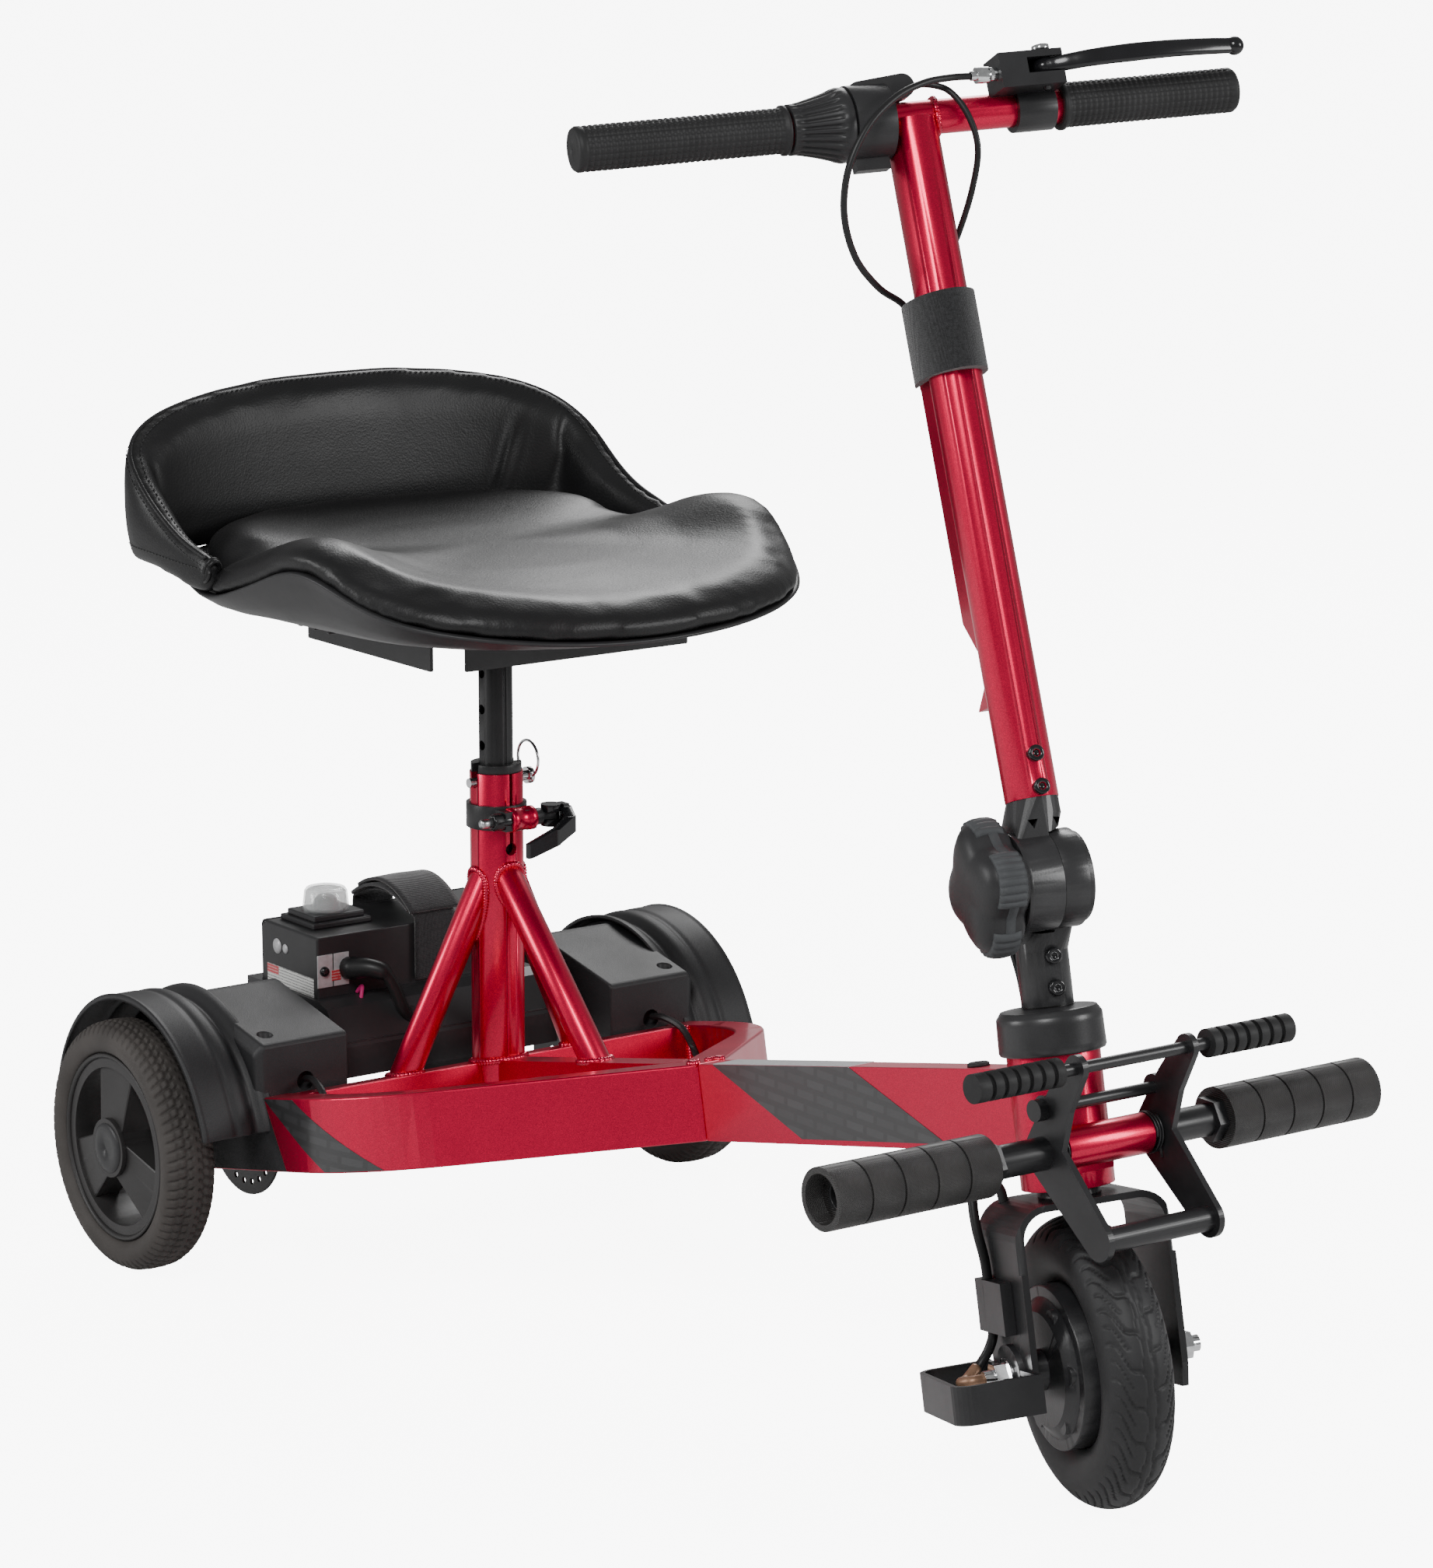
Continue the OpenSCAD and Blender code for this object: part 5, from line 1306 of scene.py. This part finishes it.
class SCOOTER_OT_covers(Operator):
    """Shapes the wheel covers: a sloping housing that flows into the mudguard"""

    bl_idname = "scooter.covers"
    bl_label = "Covers"

    def execute(self, context):
        for side, sign in (("right", -1), ("left", 1)):
            theta = np.radians(np.concatenate([[13.2, 13.8], np.linspace(15, 163, 75), [164.2, 164.8]]))
            y = np.concatenate([[206.5], np.linspace(208, 275, 60)])
            rings = []
            for k, a in enumerate(theta):
                end = 0.7 if k in (0, len(theta) - 1) else 0.0
                grow = 1.6 * step(np.radians(26) - a, 0, np.radians(11))
                r_out, r_in = fender_radius(y) + grow - end, fender_radius(y) - 2.8 + grow + end
                y_all = np.concatenate([y, y[::-1]])
                r_all = np.concatenate([r_out, r_in[::-1]])
                rings.append(np.stack([r_all * math.cos(a), y_all, r_all * math.sin(a) + REAR_TYRE_R], -1)
                             * [1, sign, 1])
            guard = lofted("mudguard", rings, material("plastic"))
            # The wall that closes the guard on the wheel's inner side
            arc = np.radians(np.linspace(14, 163, 60))
            wall = np.stack([np.stack([r * np.cos(arc), np.full(60, yy), r * np.sin(arc) + REAR_TYRE_R], -1)
                             * [1, sign, 1]
                             for yy, r in ((215, 117.6), (217.5, 117.6), (217.5, 76), (215, 76))], 1)
            closing = lofted("guard_wall", wall, material("plastic"))
            spans = ((131, 0, 0), (211.5, 0, 0), (217.5, 5, 3))
            shell = lofted("housing", [np.insert(housing_outline(t, d), 1, yy, axis=1) * [1, sign, 1]
                                       for yy, t, d in spans], material("plastic"))
            soften(shell, 2.8, 4, 20)
            apply_modifiers(shell)
            hole = turned("recess", [(192, 0.3), (192, 6.2), (203.2, 6.2), (204, 6.9), (215, 7.2),
                                     (215, 0.3)], material("plastic"), "z",
                          shifted(92, sign * 199, 0), 40)
            port = turned("port", [(96, 0.3), (96, 8), (125, 8), (125, 0.3)], material("plastic"), "x",
                          shifted(0, sign * 172, 166), 32)
            for tool in (hole, port):
                cut = shell.modifiers.new("Recess", "BOOLEAN")
                cut.object = tool
                cut.solver = "EXACT"
                apply_modifiers(shell)
                bpy.data.objects.remove(tool)
            screw = turned("cover_screw", [(190, 0.3), (190, 5.2), (196, 5.2), (197.4, 4.4), (197.4, 2.2),
                                           (195.6, 2), (195.6, 0.3)], material("satin"), "z",
                           shifted(92, sign * 199, 0), 24)
            shell.data.polygons.foreach_set("use_smooth", [face.area < 4e-5 for face in shell.data.polygons])
            cover = joined(f"wheel_cover_{side}", [guard, closing, shell, screw])
            finish_piece(cover, "frame", (f"cover_{side}",))
        return {"FINISHED"}


# ---------- finishes of the carried-over nodes ----------
MERGE = 2e-5
# Finish and edge softening in millimetres, and the nodes that have them
NODE_FINISH = {
    ("crimson", 2.2): "spine_beam side_rails",
    ("crimson", 2.0): "cross_beam",
    ("crimson", 0.6): "seat_tube",
    ("crimson", 0.8): "seat_braces",
    ("crimson", 1.5): "head_tube",
    ("crimson", 0.5): "tiller_tube handlebar",
    ("satin", 0.5): "footrest_tubes seat_post steering_column",
    ("knurled", 0.8): "footrest_grips",
    ("satin", 1.2): "frame_fasteners",
    ("steel", 0.5): "axle_bushes",
    ("plastic", 3.0): "cover_right cover_left",
    ("smooth_plastic", 3.0): "battery_tray",
    ("cable", 0): "battery_lead rear_harness motor_cable column_cables brake_cable throttle_cable",
    ("satin", 2.0): "brake_calipers lever_bracket",
    ("smooth_plastic", 0.8): "seat_collar",
    ("gloss_black", 1.5): "clamp_lever brake_lever",
    ("chrome", 0.8): "seat_pin",
    ("tyre_rubber", 0): "rear_tyre_right rear_tyre_left",
    ("wheel_plastic", 2.0): "rear_wheel_right rear_wheel_left",
    ("satin", 0.3): "brake_disc_right brake_disc_left",
    ("smooth_plastic", 2.0): "battery_box throttle_housing",
    ("webbing", 0.8): "battery_strap",
    ("smooth_plastic", 1.5): "key_switch",
    ("satin", 1.0): "seat_bracket",
    ("smooth_plastic", 0): "seat_pan",
    ("leather", 0): "seat_cushion backrest_pad",
    ("satin", 0.7): "brake_pedal_frame",
    ("grip_rubber", 1.5): "pedal_rubbers",
    ("satin", 0.8): "fork axle_guards",
    ("cast", 1.0): "head_cap",
    ("cast", 1.2): "hinge_base hinge_head",
    ("chrome", 0.6): "fork_fasteners",
    ("front_rubber", 0): "front_tyre",
    ("motor_black", 1.0): "hub_motor",
    ("motor_black", 1.2): "motor_cover",
    ("smooth_plastic", 2.5): "hinge_knob",
    ("grip_rubber", 1.0): "grip_right grip_left",
    ("smooth_plastic", 1.0): "throttle_ring",
    ("chrome", 0.4): "brake_adjuster",
    ("webbing", 1.0): "tiller_strap",
}


class SCOOTER_OT_frame_finish(Operator):
    """Gives every carried-over node its finish and softened edges"""

    bl_idname = "scooter.frame_finish"
    bl_label = "Frame Finish"

    def execute(self, context):
        for (finish, rounding), names in NODE_FINISH.items():
            for node in map(NODES.get, names.split()):
                node.data.materials.clear()
                node.data.materials.append(material(finish))
                # A node that a new piece stands for is hidden and needs no edges
                if node.hide_render:
                    continue
                weld = node.modifiers.new("Joined faces", "WELD")
                weld.merge_threshold = MERGE
                if rounding:
                    soften(node, rounding, 2 if rounding < 1.5 else 3, 38)
        return {"FINISHED"}


# ---------- stage ----------
class SCOOTER_OT_stage(Operator):
    """Lays a pale floor, hangs soft lights and sets up the camera"""

    bl_idname = "scooter.stage"
    bl_label = "Stage"

    def execute(self, context):
        stage = context.scene.scooter_stage
        floor = Nodes("Pale floor")
        floor.set(Specular_IOR_Level=0.1, Roughness=0.95)
        floor.tint(floor.noise(3), [(0.2, (0.8, 0.8, 0.8)), (0.8, (0.82, 0.82, 0.82))])
        floor.shader.inputs["Emission Color"].default_value = (1, 1, 1, 1)
        seen = floor.add("ShaderNodeLightPath")
        glow = floor.add("ShaderNodeMath", operation="MULTIPLY")
        glow.inputs[1].default_value = stage.backdrop
        floor.join(seen, "Is Camera Ray", glow, 0)
        floor.join(glow, 0, floor.shader, "Emission Strength")
        reach = 40.0
        verts = np.array([[-reach, -reach, 0], [reach, -reach, 0], [reach, reach, 0],
                          [-reach, reach, 0]]) * 1000
        ground = new_piece("pale_floor", verts - [REAR_AXLE_X * 1000, 0, 1.0], [[0, 1, 2, 3]], floor.material,
                           smooth=False)
        world = bpy.data.worlds.new("Soft white room")
        world.use_nodes = True
        sky = world.node_tree.nodes["Background"]
        sky.inputs["Color"].default_value = (1, 1, 1, 1)
        sky.inputs["Strength"].default_value = stage.room_light
        path = world.node_tree.nodes.new("ShaderNodeLightPath")
        power = world.node_tree.nodes.new("ShaderNodeMapRange")
        power.inputs["To Min"].default_value = stage.room_light
        power.inputs["To Max"].default_value = stage.backdrop * 1.04
        world.node_tree.links.new(path.outputs["Is Camera Ray"], power.inputs["Value"])
        world.node_tree.links.new(power.outputs["Result"], sky.inputs["Strength"])
        context.scene.world = world
        for name, place, aim, size, power in (
                ("Key panel", (2.2, -2.6, 3.2), (0.1, 0, 0.45), 1.6, stage.key_power),
                ("Left strip", (2.6, 1.9, 1.6), (0.2, 0, 0.5), 1.1, stage.key_power * 0.42),
                ("Right strip", (-1.6, -3.0, 1.4), (-0.1, 0, 0.4), 1.2, stage.key_power * 0.4),
                ("Back panel", (-2.4, 2.2, 2.6), (0, 0, 0.5), 1.6, stage.key_power * 0.5)):
            lamp = bpy.data.lights.new(name, "AREA")
            lamp.shape = "DISK"
            lamp.size = size
            lamp.energy = power
            holder = bpy.data.objects.new(name, lamp)
            context.scene.collection.objects.link(holder)
            aim_at(holder, place, aim)
        camera = bpy.data.cameras.new("Camera")
        camera.sensor_width = 36
        camera.lens = stage.lens
        camera.clip_end = 120
        holder = bpy.data.objects.new("Camera", camera)
        context.scene.collection.objects.link(holder)
        az, el = stage.azimuth, stage.elevation
        target = np.array(stage.target)
        away = np.array([math.sin(az) * math.cos(el), -math.cos(az) * math.cos(el), math.sin(el)])
        aim_at(holder, target + away * stage.distance, target)
        context.scene.camera = holder
        return {"FINISHED"}


def aim_at(holder, place, target):
    """Puts an object at a place with its -Z towards the target and its Y up."""
    holder.location = tuple(place)
    holder.rotation_euler = (Vector(tuple(target)) - Vector(tuple(place))).to_track_quat("-Z", "Y").to_euler()


class ScooterSizes(PropertyGroup):
    """Sizes of the soft and fine parts"""

    tread_depth: FloatProperty(name="Tread depth", description="Depth of the tyre grooves in millimetres",
                               default=2.2, min=0.5, max=4)
    weld_width: FloatProperty(name="Weld width", description="Width of the weld beads in millimetres",
                              default=6.0, min=3, max=10)
    cushion_rise: FloatProperty(name="Cushion rise", description="Crown of the seat cushion in millimetres",
                                default=10.0, min=0, max=25)


OPERATORS = (SCOOTER_OT_seat, SCOOTER_OT_tyres, SCOOTER_OT_controls, SCOOTER_OT_frame_details,
             SCOOTER_OT_covers, SCOOTER_OT_battery, SCOOTER_OT_frame_finish, SCOOTER_OT_stage)


# ---------- settings, panel and registration ----------
class ScooterFinish(PropertyGroup):
    """Colours of the finishes"""

    crimson: FloatVectorProperty(name="Crimson", description="Colour of the frame paint", subtype="COLOR",
                                 size=3, default=(0.62, 0.002, 0.05))
    leather: FloatVectorProperty(name="Leatherette", description="Colour of the seat", subtype="COLOR",
                                 size=3, default=(0.009, 0.009, 0.0095))
    tyre: FloatVectorProperty(name="Tyre", description="Colour of the rear tyres", subtype="COLOR", size=3,
                              default=(0.045, 0.04, 0.037))


class ScooterStage(PropertyGroup):
    """Camera and lights"""

    azimuth: FloatProperty(name="Azimuth", description="Turn of the camera round the scooter",
                           subtype="ANGLE", default=math.radians(54.273))
    elevation: FloatProperty(name="Elevation", description="Height angle of the camera", subtype="ANGLE",
                             default=math.radians(12.052))
    distance: FloatProperty(name="Distance", description="Camera to target", unit="LENGTH", default=4.67126)
    lens: FloatProperty(name="Lens", description="Focal length in millimetres on a 36 mm sensor",
                        default=123.45)
    target: FloatVectorProperty(name="Target", description="Point that the camera looks at",
                                subtype="TRANSLATION", size=3,
                                default=(REAR_AXLE_X + 0.036, 0.29399, 0.34223))
    key_power: FloatProperty(name="Key power", description="Power of the largest light, in watts",
                             default=110.0)
    room_light: FloatProperty(name="Room light", description="Strength of the white surroundings",
                              default=0.3)
    backdrop: FloatProperty(name="Backdrop", default=8.0,
                            description="Brightness of the floor and background as the camera sees them")


class SCOOTER_PT_panel(Panel):
    """Buttons that build the scooter's looks"""

    bl_idname = "SCOOTER_PT_panel"
    bl_label = "Scooter"
    bl_space_type = "VIEW_3D"
    bl_region_type = "UI"
    bl_category = "Scooter"

    def draw(self, context):
        layout = self.layout
        for group in ("scooter_finish", "scooter_stage", "scooter_sizes"):
            settings = getattr(context.scene, group)
            box = layout.box()
            for key in settings.__annotations__:
                box.prop(settings, key)
        for operator in OPERATORS:
            layout.operator(operator.bl_idname)


CLASSES = (ScooterFinish, ScooterStage, ScooterSizes, *OPERATORS, SCOOTER_PT_panel)


def register():
    for cls in CLASSES:
        bpy.utils.register_class(cls)
    bpy.types.Scene.scooter_finish = PointerProperty(type=ScooterFinish)
    bpy.types.Scene.scooter_stage = PointerProperty(type=ScooterStage)
    bpy.types.Scene.scooter_sizes = PointerProperty(type=ScooterSizes)


def unregister():
    for group in ("scooter_sizes", "scooter_stage", "scooter_finish"):
        delattr(bpy.types.Scene, group)
    for cls in reversed(CLASSES):
        bpy.utils.unregister_class(cls)


def main():
    """Builds everything in order."""
    register()
    for operator in OPERATORS:
        group, name = operator.bl_idname.split(".")
        getattr(getattr(bpy.ops, group), name)()


if __name__ == "__main__":
    main()
